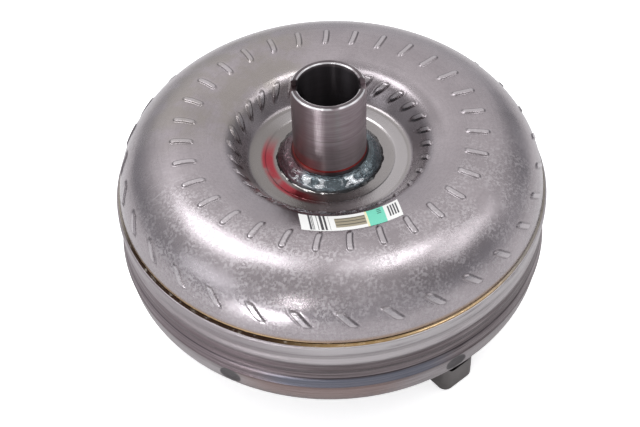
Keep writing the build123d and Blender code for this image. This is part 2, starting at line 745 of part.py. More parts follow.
def clutch_outer_race():
    race = ring(stator_race_r + cam_bore_gap, stator_ring_inner_r, clutch_bottom, clutch_top)
    arc = CenterArc((0, 0), roller_ring_r, -1, roller_pocket_sweep + 1)
    pocket = Pos(0, 0, clutch_bottom - 1) * extrude(SlotArc(arc, 2 * (roller_r + race_gap)),
                                                    amount=clutch_top - clutch_bottom + 2)
    return race - around(pocket, roller_count)


def clutch_rollers():
    roller = Pos(roller_ring_r, 0, 0) * disc(roller_r, clutch_bottom + race_gap, clutch_top - race_gap)
    return around(roller, roller_count)


def clutch_springs():
    # Folded strip springs that push each roller up its ramp.
    start = degrees((roller_r + 2 * leaf_strip) / roller_ring_r)
    reach = roller_pocket_sweep + 2.5 - start
    folds = range(leaf_folds + 1)
    points = [polar(roller_ring_r + leaf_wave * (-1) ** (k + 1), start + reach * k / leaf_folds) for k in folds]
    leaf = extrude(trace(Polyline(*points), line_width=leaf_strip), amount=clutch_top - clutch_bottom - 2)
    return around(Pos(0, 0, clutch_bottom + 1) * leaf, roller_count)


def stator_race():
    sleeve_bottom = clutch_bottom - stator_sleeve_reach
    sleeve_top = clutch_top + stator_sleeve_reach
    race = ring(stator_spline_minor_r - 2, stator_race_r, clutch_bottom + race_gap, clutch_top - race_gap)
    race += ring(stator_spline_minor_r - 2, stator_sleeve_r, sleeve_bottom, sleeve_top)
    return race - spline_bore(stator_spline_minor_r, stator_spline_major_r, stator_spline_teeth,
                              sleeve_bottom - 1, sleeve_top + 1)


# ================================================================ thrust bearings
def bearing_races(bottom, radii):
    lower = ring(radii[0], radii[1], bottom, bottom + bearing_race_thickness)
    top = bottom + bearing_height
    upper = ring(radii[0], radii[1], top - bearing_race_thickness, top)
    return lower, upper


def bearing_cage(bottom, radii):
    # Cage and needles, free of both races by the end float.
    needle_r = bearing_height / 2 - bearing_race_thickness - end_float
    length = radii[1] - radii[0] - 2 * needle_margin
    middle = Pos((radii[0] + radii[1]) / 2, 0, bottom + bearing_height / 2)
    needle = middle * Rot(0, 90, 0) * Cylinder(needle_r, length)
    window = middle * Box(length + 0.4, 2 * needle_r + 0.3, bearing_height)
    centre_z = bottom + bearing_height / 2
    washer = ring(radii[0] + 0.4, radii[1] - 0.4, centre_z - cage_thickness / 2, centre_z + cage_thickness / 2)
    return washer - around(window, needle_count), around(needle, needle_count)


# ================================================================ all pieces
parts["impeller_shell"] = impeller_shell()
parts["pump_hub"] = pump_hub()
parts["hub_weld"] = hub_weld()
parts["impeller_blades"] = impeller_blades()
parts["impeller_core_ring"] = core_ring()
parts["front_cover"] = front_cover()
parts["seam_weld"] = seam_weld()
parts["crank_pilot"] = crank_pilot()
parts["pilot_weld"] = pilot_weld()
parts["mounting_lugs"] = mounting_lugs()
parts["lug_nuts"] = lug_nuts()
parts["part_label"] = part_label()

parts["turbine_shell"] = turbine_shell()
parts["turbine_blades"] = turbine_blades()
parts["turbine_core_ring"] = mirrored(core_ring())
parts["turbine_hub"] = turbine_hub()
parts["turbine_rivets"] = turbine_rivets()
parts["damper_driven_plate"] = driven_plate()
parts["driven_plate_rivets"] = driven_rivets()
parts["piston_seal_ring"] = piston_seal_ring()

parts["damper_front_retainer"] = front_retainer()
parts["damper_rear_retainer"] = rear_retainer()
parts["damper_rivets"] = damper_rivets()
parts["damper_springs"] = damper_springs()

parts["lockup_piston"] = lockup_piston()
parts["friction_lining"] = friction_lining()

parts["stator_wheel"] = stator_wheel()
parts["clutch_outer_race"] = clutch_outer_race()
parts["clutch_rollers"] = clutch_rollers()
parts["clutch_springs"] = clutch_springs()
parts["clutch_front_cap"] = clutch_cap(clutch_bottom - cap_thickness)
parts["clutch_rear_cap"] = clutch_cap(clutch_top)
parts["clutch_snap_ring"] = snap_ring()
parts["stator_race"] = stator_race()

bearings = {
    "cover_bearing": (cover_floor_z, cover_bearing_r, ("cover_side_race", "turbine_front_race")),
    "stator_bearing": (turbine_top_z, stator_bearing_r, ("turbine_rear_race", "stator_front_race")),
    "pump_bearing": (clutch_top + cap_thickness, pump_bearing_r, ("stator_rear_race", "pump_side_race")),
}
for name, (bottom, radii, race_names) in bearings.items():
    for race_name, race in zip(race_names, bearing_races(bottom, radii)):
        parts[race_name] = race
    cage, needles = bearing_cage(bottom, radii)
    parts[name + "_cage"] = cage
    parts[name + "_needles"] = needles

os.makedirs("parts", exist_ok=True)
for name, shape in parts.items():
    export_step(shape, "parts/" + name + ".step")
    print(name, len(shape.solids()), "solids", round(shape.volume), "mm3")
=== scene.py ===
import math
import bpy
from mathutils import Matrix, Vector, noise


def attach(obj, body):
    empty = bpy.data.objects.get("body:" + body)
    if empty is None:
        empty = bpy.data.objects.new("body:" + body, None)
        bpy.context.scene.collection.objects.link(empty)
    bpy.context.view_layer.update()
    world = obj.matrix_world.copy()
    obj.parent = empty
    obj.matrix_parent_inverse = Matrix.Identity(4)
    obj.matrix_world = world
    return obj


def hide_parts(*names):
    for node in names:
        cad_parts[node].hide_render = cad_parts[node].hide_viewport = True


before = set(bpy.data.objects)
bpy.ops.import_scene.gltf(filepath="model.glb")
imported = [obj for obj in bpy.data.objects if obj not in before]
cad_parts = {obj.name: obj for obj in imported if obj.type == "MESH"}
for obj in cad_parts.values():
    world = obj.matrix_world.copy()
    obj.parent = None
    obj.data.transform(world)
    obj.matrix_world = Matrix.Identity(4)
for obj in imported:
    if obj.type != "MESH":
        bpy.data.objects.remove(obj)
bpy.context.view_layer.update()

mm = 0.001


# small helpers

def deselectAll():
    if bpy.context.mode != "OBJECT":
        bpy.ops.object.mode_set(mode="OBJECT")
    bpy.ops.object.select_all(action="DESELECT")


def onlyActive(piece):
    deselectAll()
    piece.select_set(True)
    bpy.context.view_layer.objects.active = piece


def editAll(piece):
    onlyActive(piece)
    bpy.ops.object.mode_set(mode="EDIT")
    bpy.ops.mesh.select_all(action="SELECT")


def applyModifier(piece, modifier):
    onlyActive(piece)
    bpy.ops.object.modifier_apply(modifier=modifier.name)


def smoothBy(piece, angle):
    onlyActive(piece)
    bpy.ops.object.shade_smooth_by_angle(angle=math.radians(angle))


def smoothStep(low, high, value):
    t = min(max((value - low) / (high - low), 0.0), 1.0)
    return t * t * (3 - 2 * t)


def arcPoints(centre, radius, start, end, count):
    # points on an arc in (radius, height), both ends included
    points = []
    for k in range(count + 1):
        angle = math.radians(start + (end - start) * k / count)
        points.append((centre[0] + radius * math.cos(angle), centre[1] + radius * math.sin(angle)))
    return points


def spunOutline(name, points, steps):
    # a ring of vertices laid on a closed outline in (radius, height), then spun about the axis
    deselectAll()
    bpy.ops.mesh.primitive_circle_add(vertices=len(points), radius=1, fill_type="NOTHING")
    piece = bpy.context.object
    piece.name = name
    piece.data.name = name
    for vertex, (radius, height) in zip(piece.data.vertices, points):
        vertex.co = Vector((radius * mm, 0, height * mm))
    editAll(piece)
    bpy.ops.mesh.spin(steps=steps, angle=math.tau, center=(0, 0, 0), axis=(0, 0, 1))
    bpy.ops.mesh.select_all(action="SELECT")
    bpy.ops.mesh.remove_doubles(threshold=1e-6)
    bpy.ops.mesh.normals_make_consistent(inside=False)
    bpy.ops.object.mode_set(mode="OBJECT")
    return piece


# the torus outline, as the CAD shell has it

torus = {
    "seamHeight": 98.5,
    "seamRadius": 140.0,
    "crownRadius": 96.5,
    "crownHeight": 139.8,
    "wall": 3.0,
    "floorHeight": 118.4,
    "floorFillet": 5.0,
    "flankSlope": 51.0,
    "flankRadius": 62.2,
    "flankHeight": 129.6,
    "crownSplit": 20.0,
    "rimSplit": 45.0,
    "facingRadius": 42.5,
    "facingDepth": 0.9,
    "holeRadius": 27.6,
    "skirt": 8.5,
}


def arcPair(run, drop, split, end):
    # two tangent radii from level to the slope "end" over a run and a drop
    s1, c1 = math.sin(math.radians(split)), 1 - math.cos(math.radians(split))
    s2 = math.sin(math.radians(end)) - s1
    c2 = math.cos(math.radians(split)) - math.cos(math.radians(end))
    below = s1 * c2 - c1 * s2
    return (run * c2 - drop * s2) / below, (drop * s1 - run * c1) / below


def arcCentres(radii, angle):
    first = (torus["crownRadius"], torus["crownHeight"] - radii[0])
    shift = radii[0] - radii[1]
    turn = math.radians(angle)
    return first, (first[0] + shift * math.cos(turn), first[1] + shift * math.sin(turn))


flankArcs = arcPair(torus["crownRadius"] - torus["flankRadius"], torus["crownHeight"] - torus["flankHeight"],
                    torus["crownSplit"], torus["flankSlope"])
rimArcs = arcPair(torus["seamRadius"] - torus["crownRadius"], torus["crownHeight"] - torus["seamHeight"],
                  torus["rimSplit"], 90)
flankCentres = arcCentres(flankArcs, 90 + torus["crownSplit"])
rimCentres = arcCentres(rimArcs, 90 - torus["rimSplit"])


def torusPoint(tilt, inset=0.0):
    # point of the outline whose normal leans tilt degrees towards the axis
    if tilt >= 0:
        part = 0 if tilt <= torus["crownSplit"] else 1
        centre, radius = flankCentres[part], flankArcs[part]
    else:
        part = 0 if -tilt <= torus["rimSplit"] else 1
        centre, radius = rimCentres[part], rimArcs[part]
    angle = math.radians(90 + tilt)
    return (centre[0] + (radius - inset) * math.cos(angle), centre[1] + (radius - inset) * math.sin(angle))


def arcLengthTo(tilt):
    # distance along the outline from the crown, positive outwards
    if tilt >= 0:
        first = min(tilt, torus["crownSplit"]) * flankArcs[0]
        return -math.radians(first + max(tilt - torus["crownSplit"], 0) * flankArcs[1])
    first = min(-tilt, torus["rimSplit"]) * rimArcs[0]
    return math.radians(first + max(-tilt - torus["rimSplit"], 0) * rimArcs[1])


def tiltsBetween(start, end, count):
    return [start + (end - start) * k / count for k in range(1, count + 1)]


# impeller shell with its pressed vane dimples

shellPiece = {
    "vanes": 31,
    "phase": 8.88,          # azimuth of the first middle dimple, degrees
    "dimples": [            # tilt of the centre, length, width, height, slant, all mm or degrees
        {"tilt": 50.0, "length": 11.0, "width": 4.1, "height": 0.85, "slant": 32, "lead": 11.0},
        {"tilt": 1.0, "length": 15.2, "width": 4.0, "height": 0.75, "slant": 5, "lead": 0.0},
        {"tilt": -63.3, "length": 14.5, "width": 4.3, "height": 0.8, "slant": -44, "lead": 8.5},
    ],
    "edge": 0.95,           # width of a dimple's shoulder, mm
    "groove": 0.16,         # depth of the sunk line round a dimple, mm
    "columns": [0.3, 0.6, 0.85, 1.1, 1.35, 1.6, 1.9, 2.3, 3.0, 4.2],
}


def leadKnots():
    # distance along the outline, lead and slope of the vane line at the three rings of dimples
    knots = []
    for size in shellPiece["dimples"]:
        radius = torusPoint(size["tilt"])[0]
        slope = -math.degrees(math.tan(math.radians(size["slant"])) / radius)
        knots.append((arcLengthTo(size["tilt"]), size["lead"], slope))
    return knots


vaneKnots = leadKnots()


def vaneLead(along):
    # how far the vane line is ahead of the middle ring, degrees, at a distance along the outline in mm
    first, last = vaneKnots[0], vaneKnots[-1]
    if along <= first[0]:
        return first[1] + first[2] * max(along - first[0], -9)
    if along >= last[0]:
        return last[1] + last[2] * min(along - last[0], 8)
    for near, far in zip(vaneKnots, vaneKnots[1:]):
        if along <= far[0]:
            span = far[0] - near[0]
            t = (along - near[0]) / span
            return ((2 * t ** 3 - 3 * t ** 2 + 1) * near[1] + (t ** 3 - 2 * t ** 2 + t) * span * near[2]
                    + (3 * t ** 2 - 2 * t ** 3) * far[1] + (t ** 3 - t ** 2) * span * far[2])


def dimplePress(along, offset, radius):
    # height of the pressed dimples at a distance along the outline and an angle off the vane line,
    # with how far the point is on a dimple's top, which gets a painted highlight, and on the line round it,
    # which gets painted shade
    rise, top, line = 0.0, 0.0, 0.0
    for size in shellPiece["dimples"]:
        centre = arcLengthTo(size["tilt"])
        lean = math.cos(math.radians(size["slant"]))
        onward = abs(along - centre) / lean
        across = abs(math.radians(offset)) * radius * lean
        gap = math.hypot(max(onward - (size["length"] - size["width"]) / 2, 0), across)
        half = size["width"] / 2
        up = 1 - smoothStep(half - shellPiece["edge"] * 0.7, half + shellPiece["edge"] * 0.3, gap)
        sunk = max(0.0, 1 - abs(gap - half - 0.55) / 0.75)
        rise += size["height"] * up - shellPiece["groove"] * sunk
        top += 1 - smoothStep(half - 1.1, half - 0.6, gap)
        line += max(0.0, 1 - abs(gap - half + 0.1) / 0.75)
    return rise, min(top, 1.0), min(line, 1.0)


def shellRows():
    # rows from the hole in the recess floor to the skirt: radius, height, normal tilt, distance along
    flank, floor, facing = torus["flankSlope"], torus["floorHeight"], torus["facingRadius"]
    slope = math.radians(flank)
    start = torusPoint(flank)
    corner = start[0] - (start[1] - floor) / math.tan(slope)
    fillet = (corner - torus["floorFillet"] * math.tan(slope / 2), floor + torus["floorFillet"])
    low = floor - torus["facingDepth"]
    rows = [(radius, low, 0.0) for radius in (torus["holeRadius"], 34.0, 38.0, facing - 0.8)]
    rows += [(facing - 0.3, low + 0.1, 10.0), (facing + 0.35, floor - 0.1, 10.0), (facing + 0.9, floor, 0.0),
             (46.5, floor, 0.0)]
    for k in range(7):
        angle = 270 + flank * k / 6
        rows.append((*arcPoints(fillet, torus["floorFillet"], angle, angle, 1)[0], angle - 270))
    end = rows[-1]
    for k in range(1, 7):
        rows.append((*(a + (b - a) * k / 6 for a, b in zip(end, start)), flank))
    straight = len(rows)
    tilts = (tiltsBetween(flank, 20, 12) + tiltsBetween(20, 8, 4) + tiltsBetween(8, -11, 22)
             + tiltsBetween(-11, -50, 12) + tiltsBetween(-50, -76, 22) + tiltsBetween(-76, -90, 4))
    rows += [(*torusPoint(tilt), tilt) for tilt in tilts]
    along = [arcLengthTo(flank)] * straight + [arcLengthTo(tilt) for tilt in tilts]
    for k in range(straight - 2, -1, -1):
        along[k] = along[k + 1] - math.hypot(rows[k + 1][0] - rows[k][0], rows[k + 1][1] - rows[k][1])
    return [(*row, s) for row, s in zip(rows, along)]


def shellBackRows():
    # the hidden inner face, from the skirt back to the hole
    seam, wall = torus["seamRadius"], torus["wall"]
    bottom, floor = torus["seamHeight"] - torus["skirt"], torus["floorHeight"] - wall
    rows = [(seam, bottom), (seam - wall, bottom)]
    rows += [torusPoint(tilt, wall) for tilt in (-90, -70, -50, -30, -10, 10, 20, 38, 51)]
    return rows + [(51.5, floor), (torus["holeRadius"], floor)]


def buildShell():
    outer = shellRows()
    back = shellBackRows()
    half = 180.0 / shellPiece["vanes"]
    side = shellPiece["columns"] + [half]
    offsets = [-x for x in reversed(side)] + [0.0] + side
    across, down = len(offsets), len(outer) + len(back)
    deselectAll()
    bpy.ops.mesh.primitive_grid_add(x_subdivisions=across - 1, y_subdivisions=down - 1, size=1)
    piece = bpy.context.object
    piece.name = "impellerShell"
    piece.data.name = "impellerShell"
    # masks of the dimple tops and outlines, for painted highlight and painted shade
    marks = piece.data.attributes.new("vaneMark", "FLOAT_COLOR", "POINT")
    for index, vertex in enumerate(piece.data.vertices):
        row, column = divmod(index, across)
        if row < len(outer):
            radius, height, tilt, along = outer[row]
            rise, top, line = dimplePress(along, offsets[column], radius)
            marks.data[index].color = (top, line, 0, 1)
            angle = math.radians(90 + tilt)
            radius += rise * math.cos(angle)
            height += rise * math.sin(angle)
            lead = vaneLead(along)
        else:
            radius, height = back[row - len(outer)]
            lead = vaneLead(outer[0][3] if row - len(outer) > 8 else outer[-1][3])
        turn = math.radians(shellPiece["phase"] + lead + offsets[column])
        vertex.co = Vector((radius * math.cos(turn), radius * math.sin(turn), height)) * mm
    editAll(piece)
    bpy.ops.mesh.spin(steps=shellPiece["vanes"], dupli=True, angle=math.tau, center=(0, 0, 0), axis=(0, 0, 1))
    bpy.ops.mesh.select_all(action="SELECT")
    bpy.ops.mesh.remove_doubles(threshold=8e-6)
    bpy.ops.object.mode_set(mode="OBJECT")
    # close the loop between the last hidden row and the hole's edge
    editAll(piece)
    bpy.ops.mesh.select_all(action="DESELECT")
    bpy.ops.mesh.select_mode(type="EDGE")
    bpy.ops.mesh.select_non_manifold()
    bpy.ops.mesh.bridge_edge_loops()
    bpy.ops.mesh.select_all(action="SELECT")
    bpy.ops.mesh.normals_make_consistent(inside=False)
    bpy.ops.mesh.select_mode(type="VERT")
    bpy.ops.object.mode_set(mode="OBJECT")
    smoothBy(piece, 50)
    return piece


shell = buildShell()
print("impeller shell", len(shell.data.vertices), "vertices")


# front cover: ribs, shoulder crease, dents

coverPiece = {
    "lipRadius": 142.5,
    "radius": 142.2,
    "wall": 5.0,
    "bottom": 33.0,
    "corner": 18.0,
    "ribTop": 90.0,
    "ribBottom": 68.0,
    "ribs": 3,
    "ribDepth": 0.9,
    "shoulder": 143.0,
    "crease": 143.6,
    "creaseHeight": 59.8,
    "dish": (70.0, 56.0, 8.0),
    "pilotRadius": 22.4,
    "steps": 360,
    "dents": {"count": 6, "phase": 2.0, "height": 51.0, "width": 7.5, "tall": 6.2, "depth": 1.2},
}


def coverRows():
    c, seam = coverPiece, torus["seamHeight"]
    lip, body, bottom, wall = c["lipRadius"], c["radius"], c["bottom"], c["wall"]
    shoulder, crease, creaseHeight, pilot = c["shoulder"], c["crease"], c["creaseHeight"], c["pilotRadius"]
    outerDish, innerDish, depth = c["dish"]
    points = [(torus["seamRadius"], seam), (lip - 1.5, seam), (lip - 0.9, seam - 0.05),
              (lip - 0.35, seam - 0.3), (lip - 0.05, seam - 0.9), (lip, seam - 2.0), (lip + 0.15, seam - 5.0),
              (lip, c["ribTop"] + 1.5)]
    span = c["ribTop"] - c["ribBottom"]
    for k in range(31):
        height = c["ribTop"] - span * k / 30
        wave = 0.5 - 0.5 * math.cos(math.tau * c["ribs"] * k / 30)
        points.append((body - c["ribDepth"] * (0.85 * wave + 0.15), height))
    points += [(body - 0.95, 67.7), (body - 0.8, 67.2), (shoulder - 0.5, 66.2), (shoulder - 0.1, 65.0),
               (shoulder, 62.5), (shoulder + 0.05, 60.8), (crease - 0.1, 60.2), (crease, creaseHeight),
               (crease - 0.15, 59.4), (body + 0.2, 58.7)]
    points += [(body, 58.0 - k) for k in range(7)]
    centre = (body - c["corner"], bottom + c["corner"])
    points += arcPoints(centre, c["corner"], 0, -90, 18)
    points += [(110, bottom), (90, bottom), (outerDish + 2, bottom), (outerDish, bottom - 0.3),
               (outerDish - 2, bottom - 1.2), (innerDish + 2, bottom - depth + 1.2),
               (innerDish, bottom - depth + 0.3), (innerDish - 2, bottom - depth), (pilot, bottom - depth)]
    floor = bottom + wall
    points += [(pilot, floor - depth), (innerDish - 2, floor - depth), (outerDish - 2, floor)]
    points += arcPoints(centre, c["corner"] - wall, 270, 360, 6)
    points += [(body - wall, seam - torus["skirt"]), (torus["seamRadius"], seam - torus["skirt"])]
    return points


def pressDents(piece, dents):
    for vertex in piece.data.vertices:
        flat = math.hypot(vertex.co.x, vertex.co.y)
        if flat < 0.1395 or vertex.co.z > 0.060:
            continue
        azimuth = math.degrees(math.atan2(vertex.co.y, vertex.co.x))
        pitch = 360.0 / dents["count"]
        off = (azimuth - dents["phase"] + pitch / 2) % pitch - pitch / 2
        across = math.radians(off) * flat / mm / dents["width"]
        tall = (vertex.co.z / mm - dents["height"]) / dents["tall"]
        reach = math.hypot(across, tall)
        press = dents["depth"] * (1 - smoothStep(0.55, 1.0, reach))
        scale = 1 - press * mm / flat
        vertex.co.x *= scale
        vertex.co.y *= scale


def buildCover():
    piece = spunOutline("frontCover", coverRows(), coverPiece["steps"])
    pressDents(piece, coverPiece["dents"])
    smoothBy(piece, 40)
    return piece


cover = buildCover()
print("front cover", len(cover.data.vertices), "vertices")


# ring weld round the hub, with ripples and a ragged toe

weldPiece = {
    "innerRadius": 25.4,
    "toeRadius": 35.0,
    "topHeight": 124.3,
    "seatHeight": 117.5,
    "rootHeight": 115.4,
    "rootRadius": 27.6,
    "steps": 420,
    "rows": 22,
    "ripples": 58,
    "rippleHeight": 0.05,
}


def weldOutline():
    w = weldPiece
    points = []
    for k in range(w["rows"] + 1):
        t = k / w["rows"]
        radius = w["innerRadius"] + (w["toeRadius"] - w["innerRadius"]) * t
        crown = 1.25 * math.sin(math.pi * min(t * 1.02, 1))
        height = w["topHeight"] + (w["seatHeight"] - w["topHeight"]) * (t ** 1.15) + crown
        points.append((radius, height))
    points += [(w["rootRadius"], w["seatHeight"]), (w["rootRadius"], w["rootHeight"]),
               (w["innerRadius"], w["rootHeight"])]
    return points


def buildWeld():
    w = weldPiece
    inner, toe = w["innerRadius"], w["toeRadius"]
    piece = spunOutline("hubWeldBead", weldOutline(), w["steps"])
    for vertex in piece.data.vertices:
        flat = math.hypot(vertex.co.x, vertex.co.y) / mm
        height = vertex.co.z / mm
        if flat <= inner + 0.05 or height < w["seatHeight"] + 0.01 and flat < toe - 0.1:
            continue
        azimuth = math.atan2(vertex.co.y, vertex.co.x)
        t = (flat - inner) / (toe - inner)
        chevron = azimuth * w["ripples"] - 5.0 * math.cos(math.pi * (t - 0.5))
        spot = Vector((math.cos(azimuth) * 4.5, math.sin(azimuth) * 4.5, t * 2.6))
        lump = noise.noise(spot) * 0.5 + noise.noise(spot * 3.1) * 0.2
        streak = noise.noise(Vector((azimuth * 5.5, flat * 0.9, 3.0)))
        rise = w["rippleHeight"] * math.sin(chevron) + lump * 0.55 + streak * 0.30
        flat += (noise.noise(spot * 1.7) * 0.9 + noise.noise(spot * 5.0) * 0.35) * smoothStep(0.7, 1.0, t)
        height += rise * math.sin(math.pi * min(t, 1))
        vertex.co = Vector((flat * math.cos(azimuth), flat * math.sin(azimuth), height)) * mm
    smoothBy(piece, 60)
    return piece


weldBead = buildWeld()
print("hub weld", len(weldBead.data.vertices), "vertices")


# lap weld in the seam

seamPiece = {
    "outline": [    # out and up from the seam, mm
        (0, 0), (1.5, 0), (1.35, 0.35), (0.95, 0.6), (0.5, 0.65), (0.1, 0.85), (0, 1.2),
    ],
    "steps": 540,
    "rough": 0.22,
}


def buildSeam():
    radius, height = torus["seamRadius"], torus["seamHeight"]
    outline = [(radius + out, height + up) for out, up in seamPiece["outline"]]
    piece = spunOutline("seamWeldBead", outline, seamPiece["steps"])
    for vertex in piece.data.vertices:
        flat = math.hypot(vertex.co.x, vertex.co.y) / mm
        if flat < radius + 0.05 or vertex.co.z / mm < height + 0.05:
            continue
        azimuth = math.atan2(vertex.co.y, vertex.co.x)
        spot = Vector((math.cos(azimuth) * 30, math.sin(azimuth) * 30, vertex.co.z / mm))
        vertex.co.z += seamPiece["rough"] * noise.noise(spot) * mm
    smoothBy(piece, 60)
    return piece


seamBead = buildSeam()
print("seam weld", len(seamBead.data.vertices), "vertices")


# paper label on the inner crown

labelPiece = {"innerRadius": 70.5, "outerRadius": 85.8, "length": 63.6, "middle": 278.9, "thickness": 0.14,
              "columns": 120, "rows": 16}


def buildLabel():
    p = labelPiece
    deselectAll()
    bpy.ops.mesh.primitive_grid_add(x_subdivisions=p["columns"], y_subdivisions=p["rows"], size=1,
                                    calc_uvs=True)
    piece = bpy.context.object
    piece.name = "partLabel"
    piece.data.name = "partLabel"
    across = p["columns"] + 1
    tiltOut = math.degrees(math.asin((torus["crownRadius"] - p["outerRadius"]) / flankArcs[0]))
    tiltIn = math.degrees(math.asin((torus["crownRadius"] - p["innerRadius"]) / flankArcs[0]))
    for index, vertex in enumerate(piece.data.vertices):
        row, column = divmod(index, across)
        u, v = column / p["columns"], row / p["rows"]
        lift = -0.04 - 0.025 * smoothStep(0.03, 0, min(u, 1 - u))
        radius, height = torusPoint(tiltOut + (tiltIn - tiltOut) * v, lift)
        turn = math.radians(p["middle"]) + (u - 0.5) * p["length"] / radius
        vertex.co = Vector((radius * math.cos(turn), radius * math.sin(turn), height)) * mm
    paper = piece.modifiers.new("paper", "SOLIDIFY")
    paper.thickness = p["thickness"] * mm
    paper.offset = 1
    editAll(piece)
    bpy.ops.mesh.normals_make_consistent(inside=False)
    bpy.ops.object.mode_set(mode="OBJECT")
    if piece.data.polygons[0].normal.z < 0:
        piece.data.flip_normals()
    applyModifier(piece, paper)
    smoothBy(piece, 40)
    return piece


label = buildLabel()
print("label", len(label.data.vertices), "vertices")


# shader groups

def newGroup(name, inputs, outputs):
    # inputs by name with their values, where None is a vector; outputs by name with their kinds
    group = bpy.data.node_groups.new(name, "ShaderNodeTree")
    for socketName, value in inputs.items():
        kind = "NodeSocketVector" if value is None else "NodeSocketFloat"
        socket = group.interface.new_socket(name=socketName, in_out="INPUT", socket_type=kind)
        if value is not None:
            socket.default_value = value
    for socketName, kind in outputs.items():
        group.interface.new_socket(name=socketName, in_out="OUTPUT", socket_type="NodeSocket" + kind)
    return group, group.nodes.new("NodeGroupInput"), group.nodes.new("NodeGroupOutput")


def mathNode(tree, operation, first, second=None, third=None):
    node = tree.nodes.new("ShaderNodeMath")
    node.operation = operation
    for index, value in enumerate((first, second, third)):
        if value is None:
            continue
        if isinstance(value, (int, float)):
            node.inputs[index].default_value = value
        else:
            tree.links.new(value, node.inputs[index])
    return node.outputs[0]


def times(tree, first, second):
    return mathNode(tree, "MULTIPLY", first, second)


def plus(tree, first, second):
    return mathNode(tree, "ADD", first, second)


def rangeNode(tree, value, low, high, smooth=True):
    # 0 at low and 1 at high, whichever is larger
    node = tree.nodes.new("ShaderNodeMapRange")
    node.interpolation_type = "SMOOTHSTEP" if smooth else "LINEAR"
    node.clamp = True
    for name, item in (("Value", value), ("From Min", low), ("From Max", high)):
        if isinstance(item, (int, float)):
            node.inputs[name].default_value = item
        else:
            tree.links.new(item, node.inputs[name])
    return node.outputs["Result"]


def noiseNode(tree, vector, scale, detail=3.0, rough=0.5, distortion=0.0):
    node = tree.nodes.new("ShaderNodeTexNoise")
    node.inputs["Scale"].default_value = scale
    node.inputs["Detail"].default_value = detail
    node.inputs["Roughness"].default_value = rough
    node.inputs["Distortion"].default_value = distortion
    tree.links.new(vector, node.inputs["Vector"])
    return node.outputs["Fac"]


def scaledVector(tree, vector, scale):
    node = tree.nodes.new("ShaderNodeMapping")
    node.inputs["Scale"].default_value = scale
    tree.links.new(vector, node.inputs["Vector"])
    return node.outputs["Vector"]


def mixColor(tree, factor, first, second, blend="MIX"):
    node = tree.nodes.new("ShaderNodeMix")
    node.data_type = "RGBA"
    node.blend_type = blend
    node.clamp_factor = True
    for name, item in (("Factor", factor), ("A", first), ("B", second)):
        socket = node.inputs[name]
        if isinstance(item, (int, float)):
            socket.default_value = item
        elif isinstance(item, tuple):
            socket.default_value = (*item, 1)
        else:
            tree.links.new(item, socket)
    return node.outputs["Result"]


def overlay(tree, color, mask, share, shade):
    # a share of another shade laid over the colour where the mask is 1
    return mixColor(tree, times(tree, mask, share), color, shade)


def objectPoint(tree):
    return tree.nodes.new("ShaderNodeTexCoord").outputs["Object"]


def buildPolarGroup():
    # where a point is on a turned part: radius and height in mm, azimuth in degrees from 0 to 360
    outputs = {"Radius": "Float", "Azimuth": "Float", "Height": "Float", "Unrolled": "Vector"}
    group, start, end = newGroup("polarPlace", {"Point": None}, outputs)
    parts = group.nodes.new("ShaderNodeSeparateXYZ")
    group.links.new(start.outputs["Point"], parts.inputs[0])
    x, y, z = parts.outputs
    square = plus(group, times(group, x, x), times(group, y, y))
    radius = times(group, mathNode(group, "SQRT", square), 1000.0)
    degreesRaw = times(group, mathNode(group, "ARCTAN2", y, x), 180 / math.pi)
    azimuth = mathNode(group, "FLOORED_MODULO", degreesRaw, 360.0)
    height = times(group, z, 1000.0)
    # a smooth chart for streaks: direction on the unit circle, and height plus radius
    unitX = mathNode(group, "DIVIDE", times(group, x, 1000.0), mathNode(group, "MAXIMUM", radius, 0.01))
    unitY = mathNode(group, "DIVIDE", times(group, y, 1000.0), mathNode(group, "MAXIMUM", radius, 0.01))
    joined = group.nodes.new("ShaderNodeCombineXYZ")
    group.links.new(unitX, joined.inputs[0])
    group.links.new(unitY, joined.inputs[1])
    group.links.new(plus(group, times(group, radius, 0.731), height), joined.inputs[2])
    group.links.new(radius, end.inputs["Radius"])
    group.links.new(azimuth, end.inputs["Azimuth"])
    group.links.new(height, end.inputs["Height"])
    group.links.new(joined.outputs[0], end.inputs["Unrolled"])
    return group


def buildStreakGroup():
    # fine lines that run round the part, as a die or a lathe tool leaves them
    inputs = {"Unrolled": None, "Line Scale": 1.0, "Spread": 1.0}
    group, start, end = newGroup("roundStreaks", inputs, {"Fac": "Float"})
    parts = group.nodes.new("ShaderNodeSeparateXYZ")
    group.links.new(start.outputs["Unrolled"], parts.inputs[0])
    joined = group.nodes.new("ShaderNodeCombineXYZ")
    group.links.new(times(group, parts.outputs[0], start.outputs["Spread"]), joined.inputs[0])
    group.links.new(times(group, parts.outputs[1], start.outputs["Spread"]), joined.inputs[1])
    group.links.new(times(group, parts.outputs[2], start.outputs["Line Scale"]), joined.inputs[2])
    coarse = noiseNode(group, joined.outputs[0], 1.0, 4.0, 0.62)
    group.links.new(coarse, end.inputs["Fac"])
    return group


